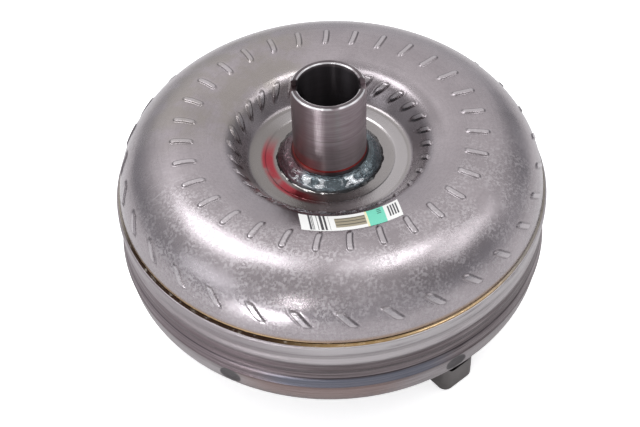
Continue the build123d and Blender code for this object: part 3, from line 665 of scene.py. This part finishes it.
def buildPatchGroup():
    # a soft-edged patch of a turned part, between two azimuths and two heights or radii
    inputs = {"Azimuth": 0.0, "Middle": 0.0, "Half Width": 10.0, "Softness": 5.0,
              "Level": 0.0, "Low": 0.0, "High": 1.0, "Blur": 1.0}
    group, start, end = newGroup("roundPatch", inputs, {"Mask": "Float"})
    turn = mathNode(group, "SUBTRACT", start.outputs["Azimuth"], start.outputs["Middle"])
    turn = mathNode(group, "SUBTRACT", mathNode(group, "FLOORED_MODULO", plus(group, turn, 180.0), 360.0),
                    180.0)
    off = mathNode(group, "ABSOLUTE", turn)
    edge = plus(group, start.outputs["Half Width"], start.outputs["Softness"])
    side = rangeNode(group, off, edge, start.outputs["Half Width"])
    lowEdge = mathNode(group, "SUBTRACT", start.outputs["Low"], start.outputs["Blur"])
    highEdge = plus(group, start.outputs["High"], start.outputs["Blur"])
    above = rangeNode(group, start.outputs["Level"], lowEdge, start.outputs["Low"])
    below = rangeNode(group, start.outputs["Level"], highEdge, start.outputs["High"])
    group.links.new(times(group, side, times(group, above, below)), end.inputs["Mask"])
    return group


polarGroup = buildPolarGroup()
streakGroup = buildStreakGroup()
patchGroup = buildPatchGroup()


def placeGroup(tree, group, **values):
    node = tree.nodes.new("ShaderNodeGroup")
    node.node_tree = group
    for name, value in values.items():
        socket = node.inputs[name.replace("_", " ")]
        if isinstance(value, (int, float)):
            socket.default_value = value
        else:
            tree.links.new(value, socket)
    return node


def patch(tree, place, middle, halfWidth, softness, level, low, high, blur):
    node = placeGroup(tree, patchGroup, Azimuth=place.outputs["Azimuth"], Middle=middle, Half_Width=halfWidth,
                      Softness=softness, Level=level, Low=low, High=high, Blur=blur)
    return node.outputs["Mask"]


def streaks(tree, place, lineScale, spread):
    return placeGroup(tree, streakGroup, Unrolled=place.outputs["Unrolled"], Line_Scale=lineScale,
                      Spread=spread).outputs["Fac"]


def newMaterial(name):
    material = bpy.data.materials.new(name)
    material.use_nodes = True
    tree = material.node_tree
    shader = tree.nodes["Principled BSDF"]
    return material, tree, shader


def turnedMaterial(name):
    # a new material with the point on the piece and its radius, height and azimuth
    material, tree, shader = newMaterial(name)
    point = objectPoint(tree)
    return material, tree, shader, point, placeGroup(tree, polarGroup, Point=point)


def stained(tree, place, color, level, marks, shades):
    # soft-edged marks laid over the colour one after another
    for middle, halfWidth, softness, low, high, blur, share, shade in marks:
        mask = patch(tree, place, middle, halfWidth, softness, level, low, high, blur)
        color = overlay(tree, color, mask, share, shades[shade])
    return color


def connect(tree, shader, color, rough, normal, metallic=1.0):
    for name, value in (("Base Color", color), ("Roughness", rough), ("Normal", normal)):
        tree.links.new(value, shader.inputs[name])
    shader.inputs["Metallic"].default_value = metallic


def bumpNormal(tree, height, strength, distance, normal=None):
    node = tree.nodes.new("ShaderNodeBump")
    node.inputs["Strength"].default_value = strength
    node.inputs["Distance"].default_value = distance
    tree.links.new(height, node.inputs["Height"])
    if normal is not None:
        tree.links.new(normal, node.inputs["Normal"])
    return node.outputs["Normal"]


# finishes

shellFinish = {
    "steel": (0.36, 0.325, 0.34),
    "pale": (0.60, 0.57, 0.585),
    # painted highlight on the front of the inner slope
    "paintedSlopeHighlight": (0.86, 0.80, 0.83),
    "dark": (0.19, 0.17, 0.18),
    # painted shade on the inner slope and round the dimples
    "worn": (0.13, 0.115, 0.12),
    "olive": (0.29, 0.265, 0.235),
    "rust": (0.026, 0.012, 0.006),
    "honey": (0.32, 0.19, 0.080),
    # painted highlight on the rusty seam edge
    "paintedRustHighlight": (0.74, 0.50, 0.25),
    "dye": (0.34, 0.030, 0.045),
    "floor": (0.285, 0.270, 0.260),
    "shade": (0.13, 0.115, 0.105),
}

# marks: azimuth, half width and softness in degrees, radius or height from, to and blur in mm, share, shade
slopeMarks = [      # painted shade on the inner slope at the left and right, and a painted highlight on it at the front
    (172, 34, 26, 53, 62, 4, 0.40, "worn"), (270, 42, 26, 53, 61, 4, 0.80, "paintedSlopeHighlight"),
    (48, 34, 26, 53, 71, 5, 0.42, "worn"),
]
# painted shade at the left of the recess floor, painted highlight on its facing ring
floorMarks = [(200, 50, 50, 36, 52, 3, 0.45, "shade"), (20, 95, 40, 43.0, 50.0, 1.2, 0.35, "pale")]
seamMarks = [(255, 55, 30, 97.0, 101.2, 3.0, 0.55, "honey"), (226, 26, 20, 100.6, 101.2, 0.5, 0.85, "paintedRustHighlight")]


def shellMaterial():
    material, tree, shader, point, place = turnedMaterial("pressedSteel")
    f = shellFinish
    radius, height = place.outputs["Radius"], place.outputs["Height"]
    cloud = noiseNode(tree, point, 22.0, 3.0, 0.55)
    color = mixColor(tree, rangeNode(tree, cloud, 0.35, 0.68), tuple(x * 0.93 for x in f["steel"]),
                     tuple(x * 1.08 for x in f["steel"]))
    lines = streaks(tree, place, 1.1, 2.2)
    color = overlay(tree, color, rangeNode(tree, lines, 0.45, 0.75), 0.18, f["dark"])
    # close mottling of pickled sheet, everywhere
    grain = noiseNode(tree, point, 520.0, 3.0, 0.65)
    color = overlay(tree, color, rangeNode(tree, grain, 0.42, 0.62), 0.16, f["dark"])
    # etched speckle on the front and right of the crown's outer side
    speckle = noiseNode(tree, point, 560.0, 4.0, 0.66, 0.3)
    islands = noiseNode(tree, point, 70.0, 4.0, 0.62)
    front = patch(tree, place, 280, 62, 30, radius, 92, 134, 10)
    spots = times(tree, rangeNode(tree, speckle, 0.47, 0.58), rangeNode(tree, islands, 0.36, 0.56))
    spots = times(tree, spots, front)
    color = overlay(tree, color, spots, 0.34, f["pale"])
    # painted highlight on the dimple tops, painted shade on the line round each dimple
    marks = tree.nodes.new("ShaderNodeAttribute")
    marks.attribute_name = "vaneMark"
    split = tree.nodes.new("ShaderNodeSeparateColor")
    tree.links.new(marks.outputs["Color"], split.inputs[0])
    color = overlay(tree, color, split.outputs[0], 0.42, f["pale"])
    color = overlay(tree, color, split.outputs[1], 0.68, f["worn"])
    # short rub marks that run outwards on the left
    rubPlace = tree.nodes.new("ShaderNodeCombineXYZ")
    tree.links.new(times(tree, place.outputs["Azimuth"], 1.9), rubPlace.inputs[0])
    tree.links.new(times(tree, radius, 0.045), rubPlace.inputs[1])
    rub = rangeNode(tree, noiseNode(tree, rubPlace.outputs[0], 1.0, 2.0, 0.5), 0.66, 0.72)
    rub = times(tree, rub, patch(tree, place, 222, 26, 8, radius, 100, 122, 4))
    color = overlay(tree, color, rub, 0.5, f["pale"])
    # oil tint at the back left
    oil = patch(tree, place, 140, 26, 28, radius, 68, 112, 16)
    oil = times(tree, oil, rangeNode(tree, islands, 0.32, 0.62))
    color = overlay(tree, color, oil, 0.6, f["olive"])
    # painted shade and painted highlight on the inner slope
    color = stained(tree, place, color, radius, slopeMarks, f)
    # machined ring and floor
    color = overlay(tree, color, rangeNode(tree, radius, 54.5, 51.5), 0.75, f["floor"])
    # painted shade and painted highlight on the recess floor
    color = stained(tree, place, color, radius, floorMarks, f)
    # marking dye on the floor
    dye = patch(tree, place, 208, 27, 34, radius, 38.5, 43.5, 2.6)
    smear = noiseNode(tree, point, 60.0, 3.0, 0.6)
    dye = times(tree, dye, rangeNode(tree, smear, 0.18, 0.55))
    color = overlay(tree, color, dye, 0.9, f["dye"])
    # rust that crept up from the seam, with a painted highlight along its upper edge at the front left
    seamBand = patch(tree, place, 246, 40, 22, height, 97.0, 100.2, 0.9)
    rustNoise = noiseNode(tree, point, 130.0, 4.0, 0.65)
    rust = times(tree, seamBand, rangeNode(tree, rustNoise, 0.24, 0.48))
    color = stained(tree, place, color, height, seamMarks, f)
    color = mixColor(tree, rust, color, f["rust"])
    rough = plus(tree, times(tree, cloud, 0.18), 0.13)
    for mask, gain in ((grain, 0.10), (spots, 0.16), (rust, 0.35), (dye, -0.10)):
        rough = plus(tree, rough, times(tree, mask, gain))
    normal = bumpNormal(tree, noiseNode(tree, point, 900.0, 2.0, 0.5), 0.10, 0.0002)
    normal = bumpNormal(tree, speckle, 0.10, 0.0004, normal)
    normal = bumpNormal(tree, lines, 0.10, 0.0004, normal)
    normal = bumpNormal(tree, noiseNode(tree, point, 30.0, 2.0, 0.5), 0.25, 0.0022, normal)
    connect(tree, shader, color, rough, normal)
    return material


coverFinish = {
    "steel": (0.285, 0.245, 0.255),
    "lip": (0.45, 0.425, 0.435),
    "pale": (0.47, 0.44, 0.45),
    "dark": (0.082, 0.066, 0.068),
    "blue": (0.112, 0.122, 0.156),
    "straw": (0.22, 0.140, 0.122),
    "plum": (0.165, 0.125, 0.140),
    # painted shade in the dents
    "dent": (0.050, 0.047, 0.050),
    "groove": (0.03, 0.025, 0.03),
}

coverBands = [      # from, to, blur, share and shade of the lighter and darker bands round the cover by height, mm
    (92.5, 99, 3.0, 0.95, "lip"), (82.5, 89, 2.5, 0.80, "pale"), (68.5, 76, 3.0, 0.52, "dark"),
    (57.8, 60.2, 0.5, 0.7, "dark"), (30, 53, 5.0, 0.55, "pale"),
]
coverMarks = [      # heat tints, and the dark line under the ribs
    (206, 36, 30, 58, 99, 3, 0.45, "plum"), (275, 16, 12, 60.5, 66, 1.2, 0.8, "blue"),
    (266, 12, 16, 46, 57, 4, 0.6, "straw"), (0, 180, 1, 66.9, 67.8, 0.6, 0.8, "groove"),
]


def coverMaterial():
    material, tree, shader, point, place = turnedMaterial("drawnSteel")
    f = coverFinish
    height = place.outputs["Height"]
    lines = streaks(tree, place, 1.3, 1.4)
    fineLines = streaks(tree, place, 6.0, 3.0)
    color = mixColor(tree, rangeNode(tree, lines, 0.36, 0.66), f["dark"], f["steel"])
    color = overlay(tree, color, rangeNode(tree, fineLines, 0.50, 0.72), 0.5, f["pale"])
    uneven = rangeNode(tree, streaks(tree, place, 0.5, 3.4), 0.20, 0.52)
    for low, high, blur, share, shade in coverBands:
        strip = times(tree, patch(tree, place, 0, 180, 1, height, low, high, blur), uneven)
        color = overlay(tree, color, strip, share, f[shade])
    color = stained(tree, place, color, height, coverMarks, f)
    # painted shade in the dents
    dents = coverPiece["dents"]
    pitch = 360.0 / dents["count"]
    turn = plus(tree, place.outputs["Azimuth"], pitch / 2 - dents["phase"])
    off = plus(tree, mathNode(tree, "FLOORED_MODULO", turn, pitch), -pitch / 2)
    across = times(tree, off, math.radians(coverPiece["radius"]) / dents["width"])
    tall = mathNode(tree, "DIVIDE", plus(tree, height, -dents["height"]), dents["tall"])
    reach = mathNode(tree, "SQRT", plus(tree, times(tree, across, across), times(tree, tall, tall)))
    color = overlay(tree, color, rangeNode(tree, reach, 1.06, 0.92), 0.85, f["dent"])
    cloud = noiseNode(tree, point, 40.0, 3.0, 0.6)
    rough = plus(tree, plus(tree, times(tree, cloud, 0.2), 0.24), times(tree, fineLines, 0.1))
    normal = bumpNormal(tree, lines, 0.18, 0.0012, bumpNormal(tree, fineLines, 0.22, 0.0005))
    connect(tree, shader, color, rough, normal)
    return material


hubFinish = {
    "steel": (0.30, 0.245, 0.262),
    "pink": (0.41, 0.355, 0.37),
    "low": (0.13, 0.112, 0.110),
    "bright": (0.50, 0.47, 0.48),
    # painted shade on the left of the hub
    "paintedShadeLeft": (0.115, 0.080, 0.082),
    "seat": (0.12, 0.10, 0.10),
    "collar": (0.035, 0.028, 0.030),
    "dye": (0.36, 0.028, 0.022),
    # painted red reflection
    "paintedRedReflection": (0.26, 0.05, 0.045),
    # painted shade in the bore
    "bore": (0.075, 0.068, 0.075),
    "face": (0.10, 0.088, 0.092),
    # painted highlight colour for the chamfer edges
    "worn": (0.86, 0.85, 0.86),
    "faceHeight": 179.3,
    "edgeHeight": 178.7,        # the painted highlight on the chamfers at the open end starts here
}
# painted shade down the left side of the hub, and a thin dark ring at the seat
hubStains = [(196, 30, 26, 126, 178, 2, 0.85, "paintedShadeLeft"), (0, 180, 1, 152.0, 152.6, 0.3, 0.4, "seat")]
# the red dye line at the hub's foot, and a painted red reflection above it at the left
hubDye = [(262, 80, 30, 126.2, 126.9, 0.4, 0.85, "dye"), (205, 35, 30, 127.0, 133.0, 4.0, 0.45, "paintedRedReflection")]


def hubMaterial():
    material, tree, shader, point, place = turnedMaterial("turnedSteel")
    f = hubFinish
    height, radius = place.outputs["Height"], place.outputs["Radius"]
    turning = streaks(tree, place, 9.0, 0.6)
    band = streaks(tree, place, 0.7, 1.2)
    cloud = noiseNode(tree, point, 90.0, 2.0, 0.5)
    color = mixColor(tree, rangeNode(tree, band, 0.3, 0.7), f["steel"], f["pink"])
    # painted reflection of the darker recess: the hub darker towards its foot
    color = overlay(tree, color, rangeNode(tree, height, 156.0, 140.0), 0.55, f["low"])
    color = overlay(tree, color, rangeNode(tree, turning, 0.52, 0.7), 0.13, f["bright"])
    color = stained(tree, place, color, height, hubStains, f)
    collar = times(tree, rangeNode(tree, height, 126.3, 126.0), rangeNode(tree, height, 117, 118))
    color = mixColor(tree, collar, color, f["collar"])
    color = stained(tree, place, color, height, hubDye, f)
    # painted shade, darker deeper into the bore
    deep = times(tree, rangeNode(tree, radius, 21.2, 20.4), rangeNode(tree, height, 179.5, 176.0))
    color = overlay(tree, color, deep, 0.9, f["bore"])
    face = times(tree, rangeNode(tree, radius, 20.6, 20.9), rangeNode(tree, radius, 23.0, 22.6))
    face = times(tree, face, rangeNode(tree, height, f["faceHeight"], f["faceHeight"] + 0.3))
    color = overlay(tree, color, face, 0.85, f["face"])
    # painted highlight on the chamfer edges at the open end
    side = plus(tree, rangeNode(tree, radius, 22.5, 22.8), rangeNode(tree, radius, 20.7, 20.4))
    worn = times(tree, mathNode(tree, "MINIMUM", side, 1.0), rangeNode(tree, cloud, 0.30, 0.42))
    worn = times(tree, worn, rangeNode(tree, height, f["edgeHeight"], f["edgeHeight"] + 0.3))
    color = overlay(tree, color, worn, 0.85, f["worn"])
    rough = plus(tree, times(tree, band, 0.06), 0.30)
    connect(tree, shader, color, rough, bumpNormal(tree, turning, 0.07, 0.0002))
    shader.inputs["Anisotropic"].default_value = 1.0
    shader.inputs["Anisotropic Rotation"].default_value = 0.25
    tangent = tree.nodes.new("ShaderNodeTangent")
    tangent.direction_type = "RADIAL"
    tangent.axis = "Z"
    tree.links.new(tangent.outputs["Tangent"], shader.inputs["Tangent"])
    return material


weldFinish = {
    "crust": (0.012, 0.012, 0.013),
    "dye": (0.085, 0.018, 0.026),
    "bright": (0.80, 0.83, 0.85),
    "lip": (0.88, 0.87, 0.84),
}


def weldMaterial(name, base, tint, rough, hot=False):
    material, tree, shader, point, place = turnedMaterial(name)
    f = weldFinish
    radius, unrolled = place.outputs["Radius"], place.outputs["Unrolled"]
    cloud = noiseNode(tree, point, 120.0, 4.0, 0.6)
    color = mixColor(tree, rangeNode(tree, cloud, 0.35, 0.65), base, tint)
    if hot:
        # dark crust at the toe, dye that ran over the bead, painted highlight runs, and a broken painted
        # highlight along the toe at the front left
        color = mixColor(tree, rangeNode(tree, radius, 33.2, 34.2), color, f["crust"])
        color = stained(tree, place, color, radius, [(190, 32, 18, 25, 33.5, 1, 0.7, "dye")], f)
        runs = noiseNode(tree, scaledVector(tree, unrolled, (3.4, 3.4, 1.3)), 1.0, 4.0, 0.62, 1.3)
        bright = plus(tree, patch(tree, place, 240, 14, 16, radius, 28.8, 32.6, 1),
                      patch(tree, place, 301, 9, 14, radius, 28.8, 32.6, 1))
        runs = times(tree, rangeNode(tree, runs, 0.50, 0.55), bright)
        color = overlay(tree, color, runs, 0.70, f["bright"])
        # painted highlight along the toe at the front left
        broken = rangeNode(tree, noiseNode(tree, point, 260.0, 3.0, 0.6), 0.40, 0.52)
        lip = times(tree, patch(tree, place, 238, 30, 8, radius, 34.7, 36, 0.25), broken)
        color = mixColor(tree, lip, color, f["lip"])
    flow = noiseNode(tree, scaledVector(tree, unrolled, (6.5, 6.5, 1.3)), 1.0, 3.0, 0.55, 0.9)
    fine = noiseNode(tree, point, 420.0, 3.0, 0.5)
    normal = bumpNormal(tree, fine, 0.07, 0.0003, bumpNormal(tree, flow, 0.60, 0.0018))
    connect(tree, shader, color, plus(tree, times(tree, cloud, 0.15), rough), normal, 0.9)
    shader.inputs["Coat Weight"].default_value = 0.6
    shader.inputs["Coat Roughness"].default_value = 0.06
    return material


def seamMaterial():
    material, tree, shader, point, place = turnedMaterial("rustySeam")
    rustNoise = noiseNode(tree, point, 160.0, 4.0, 0.65)
    height = place.outputs["Height"]
    front = patch(tree, place, 243, 36, 18, height, 90, 110, 1)
    rust = times(tree, front, rangeNode(tree, rustNoise, 0.25, 0.5))
    color = mixColor(tree, rust, (0.30, 0.27, 0.24), shellFinish["rust"])
    # rust-brown tint with a painted highlight on the bead right of the front
    color = overlay(tree, color, patch(tree, place, 290, 16, 22, height, 90, 110, 1), 0.7, (0.45, 0.30, 0.14))
    rough = plus(tree, times(tree, rust, 0.35), 0.22)
    connect(tree, shader, color, rough, bumpNormal(tree, rustNoise, 0.4, 0.0004), 0.85)
    return material


def plainMetal(name, base, rough, streakScale=3.0):
    material, tree, shader, point, place = turnedMaterial(name)
    lines = streaks(tree, place, streakScale, 2.0)
    cloud = noiseNode(tree, point, 60.0, 3.0, 0.6)
    color = mixColor(tree, rangeNode(tree, cloud, 0.3, 0.7), tuple(0.82 * x for x in base), base)
    rough = plus(tree, times(tree, lines, 0.2), rough - 0.1)
    connect(tree, shader, color, rough, bumpNormal(tree, lines, 0.15, 0.0003))
    return material


labelFinish = {
    "paper": (0.80, 0.80, 0.78),
    "ink": (0.05, 0.05, 0.055),
    "tan": (0.33, 0.29, 0.21),
    "brown": (0.10, 0.09, 0.07),
    "yellow": (0.78, 0.74, 0.48),
    "green": (0.17, 0.62, 0.46),
    "deepGreen": (0.03, 0.12, 0.10),
}


def labelMaterial():
    material, tree, shader = newMaterial("printedPaper")
    f = labelFinish
    uv = tree.nodes.new("ShaderNodeUVMap")
    parts = tree.nodes.new("ShaderNodeSeparateXYZ")
    tree.links.new(uv.outputs["UV"], parts.inputs[0])
    u, v = parts.outputs[0], parts.outputs[1]

    def block(left, right, low, high, edge=0.003):
        mask = times(tree, rangeNode(tree, u, left, left + edge), rangeNode(tree, u, right, right - edge))
        side = times(tree, rangeNode(tree, v, low, low + 0.02), rangeNode(tree, v, high, high - 0.02))
        return times(tree, mask, side)

    barNoise = tree.nodes.new("ShaderNodeTexWhiteNoise")
    barNoise.noise_dimensions = "1D"
    tree.links.new(mathNode(tree, "FLOOR", times(tree, u, 150.0)), barNoise.inputs["W"])
    bars = mathNode(tree, "GREATER_THAN", barNoise.outputs["Value"], 0.47)
    color = mixColor(tree, times(tree, bars, block(0.075, 0.285, 0.04, 1.2)), f["paper"], f["ink"])
    blocks = [(0.335, 0.635, 0.17, 0.80, "tan")]
    blocks += [(0.34, 0.63, low, low + 0.08, "brown") for low in (0.30, 0.50, 0.70)]
    blocks += [(0.635, 0.665, -0.2, 1.2, "yellow"), (0.655, 0.832, -0.2, 1.2, "green")]
    blocks += [(0.755, 0.80, row, row + 0.075, "deepGreen") for row in (0.60, 0.72, 0.84)]
    blocks += [(left, left + 0.019, 0.20, 0.88, "ink") for left in (0.868, 0.8965, 0.925, 0.9535)]
    for left, right, low, high, shade in blocks:
        color = mixColor(tree, block(left, right, low, high), color, f[shade])
    tree.links.new(color, shader.inputs["Base Color"])
    shader.inputs["Roughness"].default_value = 0.45
    grain = noiseNode(tree, objectPoint(tree), 1500.0, 2.0, 0.5)
    tree.links.new(bumpNormal(tree, grain, 0.1, 0.0001), shader.inputs["Normal"])
    return material


def dress(piece, material):
    piece.data.materials.clear()
    piece.data.materials.append(material)


shellSteel = shellMaterial()
coverSteel = coverMaterial()
hubSteel = hubMaterial()
glassyWeld = weldMaterial("glassyWeld", (0.042, 0.057, 0.066), (0.105, 0.132, 0.146), 0.05, True)
pilotBead = weldMaterial("pilotBead", (0.13, 0.12, 0.12), (0.24, 0.22, 0.22), 0.25)
seamRust = seamMaterial()
lugSteel = plainMetal("lugSteel", (0.205, 0.190, 0.186), 0.34)
nutSteel = plainMetal("nutSteel", (0.17, 0.16, 0.15), 0.40)
sheetSteel = plainMetal("sheetSteel", (0.42, 0.42, 0.43), 0.38)
plateSteel = plainMetal("plateSteel", (0.33, 0.33, 0.35), 0.35)
springSteel = plainMetal("springSteel", (0.16, 0.16, 0.19), 0.33)
rivetSteel = plainMetal("rivetSteel", (0.45, 0.44, 0.43), 0.35)
castAlloy = plainMetal("castAlloy", (0.62, 0.63, 0.64), 0.48)
groundSteel = plainMetal("groundSteel", (0.55, 0.55, 0.56), 0.22, 8.0)
frictionPaper = plainMetal("frictionPaper", (0.17, 0.11, 0.06), 0.75)
sealBlack = plainMetal("sealBlack", (0.03, 0.03, 0.03), 0.55)
paperPrint = labelMaterial()

finishNodes = [
    (hubSteel, "pump_hub crank_pilot turbine_hub"),
    (pilotBead, "pilot_weld"),
    (lugSteel, "mounting_lugs"),
    (nutSteel, "lug_nuts"),
    (sheetSteel, "impeller_blades impeller_core_ring turbine_shell turbine_blades turbine_core_ring"),
    (sheetSteel, "lockup_piston"),
    (plateSteel, "damper_driven_plate damper_front_retainer damper_rear_retainer"),
    (springSteel, "damper_springs clutch_springs clutch_snap_ring"),
    (rivetSteel, "turbine_rivets driven_plate_rivets damper_rivets"),
    (castAlloy, "stator_wheel clutch_front_cap clutch_rear_cap"),
    (frictionPaper, "friction_lining"),
    (sealBlack, "piston_seal_ring"),
]
nodeFinish = {name: material for material, names in finishNodes for name in names.split()}
for name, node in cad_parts.items():
    dress(node, nodeFinish.get(name, groundSteel))

newPieces = [
    (shell, "impeller_shell", shellSteel, "shell_steel"),
    (cover, "front_cover", coverSteel, "cover_steel"),
    (weldBead, "hub_weld", glassyWeld, "weld_metal"),
    (seamBead, "seam_weld", seamRust, "weld_metal"),
    (label, "part_label", paperPrint, "label_paper"),
]
for piece, node, material, slotName in newPieces:
    dress(piece, material)
    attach(piece, "housing")
    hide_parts(node)
print("finishes placed")


# stage, camera, lights

studio = {
    "floorSize": 6.0,
    "floorShade": (0.90, 0.90, 0.90),
    "cameraPlace": (0.0, -0.5793, 0.6905),
    "yaw": -0.807,
    "pitch": 47.34,
    "roll": -2.305,
    "lens": 69.85,
    "lights": [  # direction from the converter, distance, width, height, watts, colour
        ((0.29, -0.05, 0.95), 1.5, 0.42, 0.36, 2.6, (0.97, 0.99, 1.0)),
        ((0.68, -0.05, 0.73), 1.5, 0.60, 0.50, 1.9, (0.98, 0.99, 1.0)),
        ((-0.50, 0.15, 0.86), 1.5, 0.60, 0.42, 4.2, (0.96, 0.98, 1.0)),
        ((-0.28, 0.03, 0.96), 1.5, 0.42, 0.32, 1.9, (0.96, 0.98, 1.0)),
        ((-0.80, -0.42, 0.42), 1.5, 0.60, 0.50, 1.3, (0.92, 0.96, 1.0)),
        ((-0.50, -0.86, 0.02), 1.6, 0.50, 0.12, 6.0, (0.96, 0.98, 1.0)),
        ((-0.33, -0.94, 0.55), 1.9, 0.07, 0.60, 2.6, (1.0, 1.0, 1.0)),
    ],
    "tentHorizon": (0.71, 0.72, 0.75),
    "tentTop": (0.86, 0.85, 0.86),
    "panels": [     # cards and gaps round the tent: direction, inner and outer angle, added brightness
        ((0.0, 0.75, 0.66), 20, 42, 0.16),
        ((-0.55, 0.55, 0.62), 14, 36, 0.22),
        ((0.0, -0.80, 0.60), 25, 50, -0.13),
        ((0.80, -0.30, 0.50), 14, 34, -0.38),
        ((-0.90, 0.10, 0.42), 12, 28, -0.22),
        ((0.75, 0.65, 0.20), 10, 24, -0.35),
        ((-0.80, 0.58, 0.16), 8, 22, -0.30),
    ],
    "floorGlow": 0.60,      # lifts the floor to white for the camera only
}


def buildFloor():
    deselectAll()
    bpy.ops.mesh.primitive_plane_add(size=studio["floorSize"], location=(0, 0, 0))
    floor = bpy.context.object
    floor.name = "studioFloor"
    material, tree, shader = newMaterial("paleFloor")
    shader.inputs["Base Color"].default_value = (*studio["floorShade"], 1)
    shader.inputs["Roughness"].default_value = 0.9
    shader.inputs["Specular IOR Level"].default_value = 0.1
    shader.inputs["Emission Color"].default_value = (1, 1, 1, 1)
    seen = tree.nodes.new("ShaderNodeLightPath").outputs["Is Camera Ray"]
    tree.links.new(times(tree, seen, studio["floorGlow"]), shader.inputs["Emission Strength"])
    dress(floor, material)


def buildCamera():
    yaw, pitch, roll = (math.radians(studio[key]) for key in ("yaw", "pitch", "roll"))
    forward = Vector((math.sin(yaw) * math.cos(pitch), math.cos(yaw) * math.cos(pitch), -math.sin(pitch)))
    right = Vector((math.cos(yaw), -math.sin(yaw), 0))
    up = right.cross(forward)
    sideways = right * math.cos(roll) + up * math.sin(roll)
    upwards = up * math.cos(roll) - right * math.sin(roll)
    turn = Matrix((sideways, upwards, -forward)).transposed().to_4x4()
    data = bpy.data.cameras.new("studioCamera")
    data.lens = studio["lens"]
    data.sensor_width = 36.0
    camera = bpy.data.objects.new("studioCamera", data)
    bpy.context.scene.collection.objects.link(camera)
    camera.matrix_world = Matrix.Translation(studio["cameraPlace"]) @ turn
    bpy.context.scene.camera = camera


def buildLights():
    middle = Vector((0, 0, 0.09))
    for index, (direction, distance, width, height, watts, colour) in enumerate(studio["lights"]):
        data = bpy.data.lights.new(f"softbox{index}", "AREA")
        data.shape = "RECTANGLE"
        data.size, data.size_y = width, height
        data.energy = watts
        data.color = colour
        lamp = bpy.data.objects.new(f"softbox{index}", data)
        bpy.context.scene.collection.objects.link(lamp)
        aim = Vector(direction).normalized()
        lamp.location = middle + aim * distance
        lamp.rotation_euler = aim.to_track_quat("Z", "Y").to_euler()


def buildWorld():
    world = bpy.data.worlds.new("studioWorld")
    bpy.context.scene.world = world
    world.use_nodes = True
    tree = world.node_tree
    back = tree.nodes["Background"]
    direction = tree.nodes.new("ShaderNodeTexCoord").outputs["Generated"]
    parts = tree.nodes.new("ShaderNodeSeparateXYZ")
    tree.links.new(direction, parts.inputs[0])
    level = rangeNode(tree, parts.outputs[2], -0.1, 0.9)
    tent = mixColor(tree, level, studio["tentHorizon"], studio["tentTop"])
    total = None
    for aim, inner, outer, gain in studio["panels"]:
        dot = tree.nodes.new("ShaderNodeVectorMath")
        dot.operation = "DOT_PRODUCT"
        tree.links.new(direction, dot.inputs[0])
        dot.inputs[1].default_value = Vector(aim).normalized()
        far, near = math.cos(math.radians(outer)), math.cos(math.radians(inner))
        mask = rangeNode(tree, dot.outputs["Value"], far, near)
        part = times(tree, mask, gain)
        total = part if total is None else plus(tree, total, part)
    tent = mixColor(tree, 1.0, tent, total, "ADD")
    seen = tree.nodes.new("ShaderNodeLightPath").outputs["Is Camera Ray"]
    tree.links.new(mixColor(tree, seen, tent, (1.0, 1.0, 1.0)), back.inputs["Color"])
    back.inputs["Strength"].default_value = 1.0


buildFloor()
buildCamera()
buildLights()
buildWorld()
bpy.context.scene.view_settings.view_transform = "Standard"
print("stage, camera and lights placed")
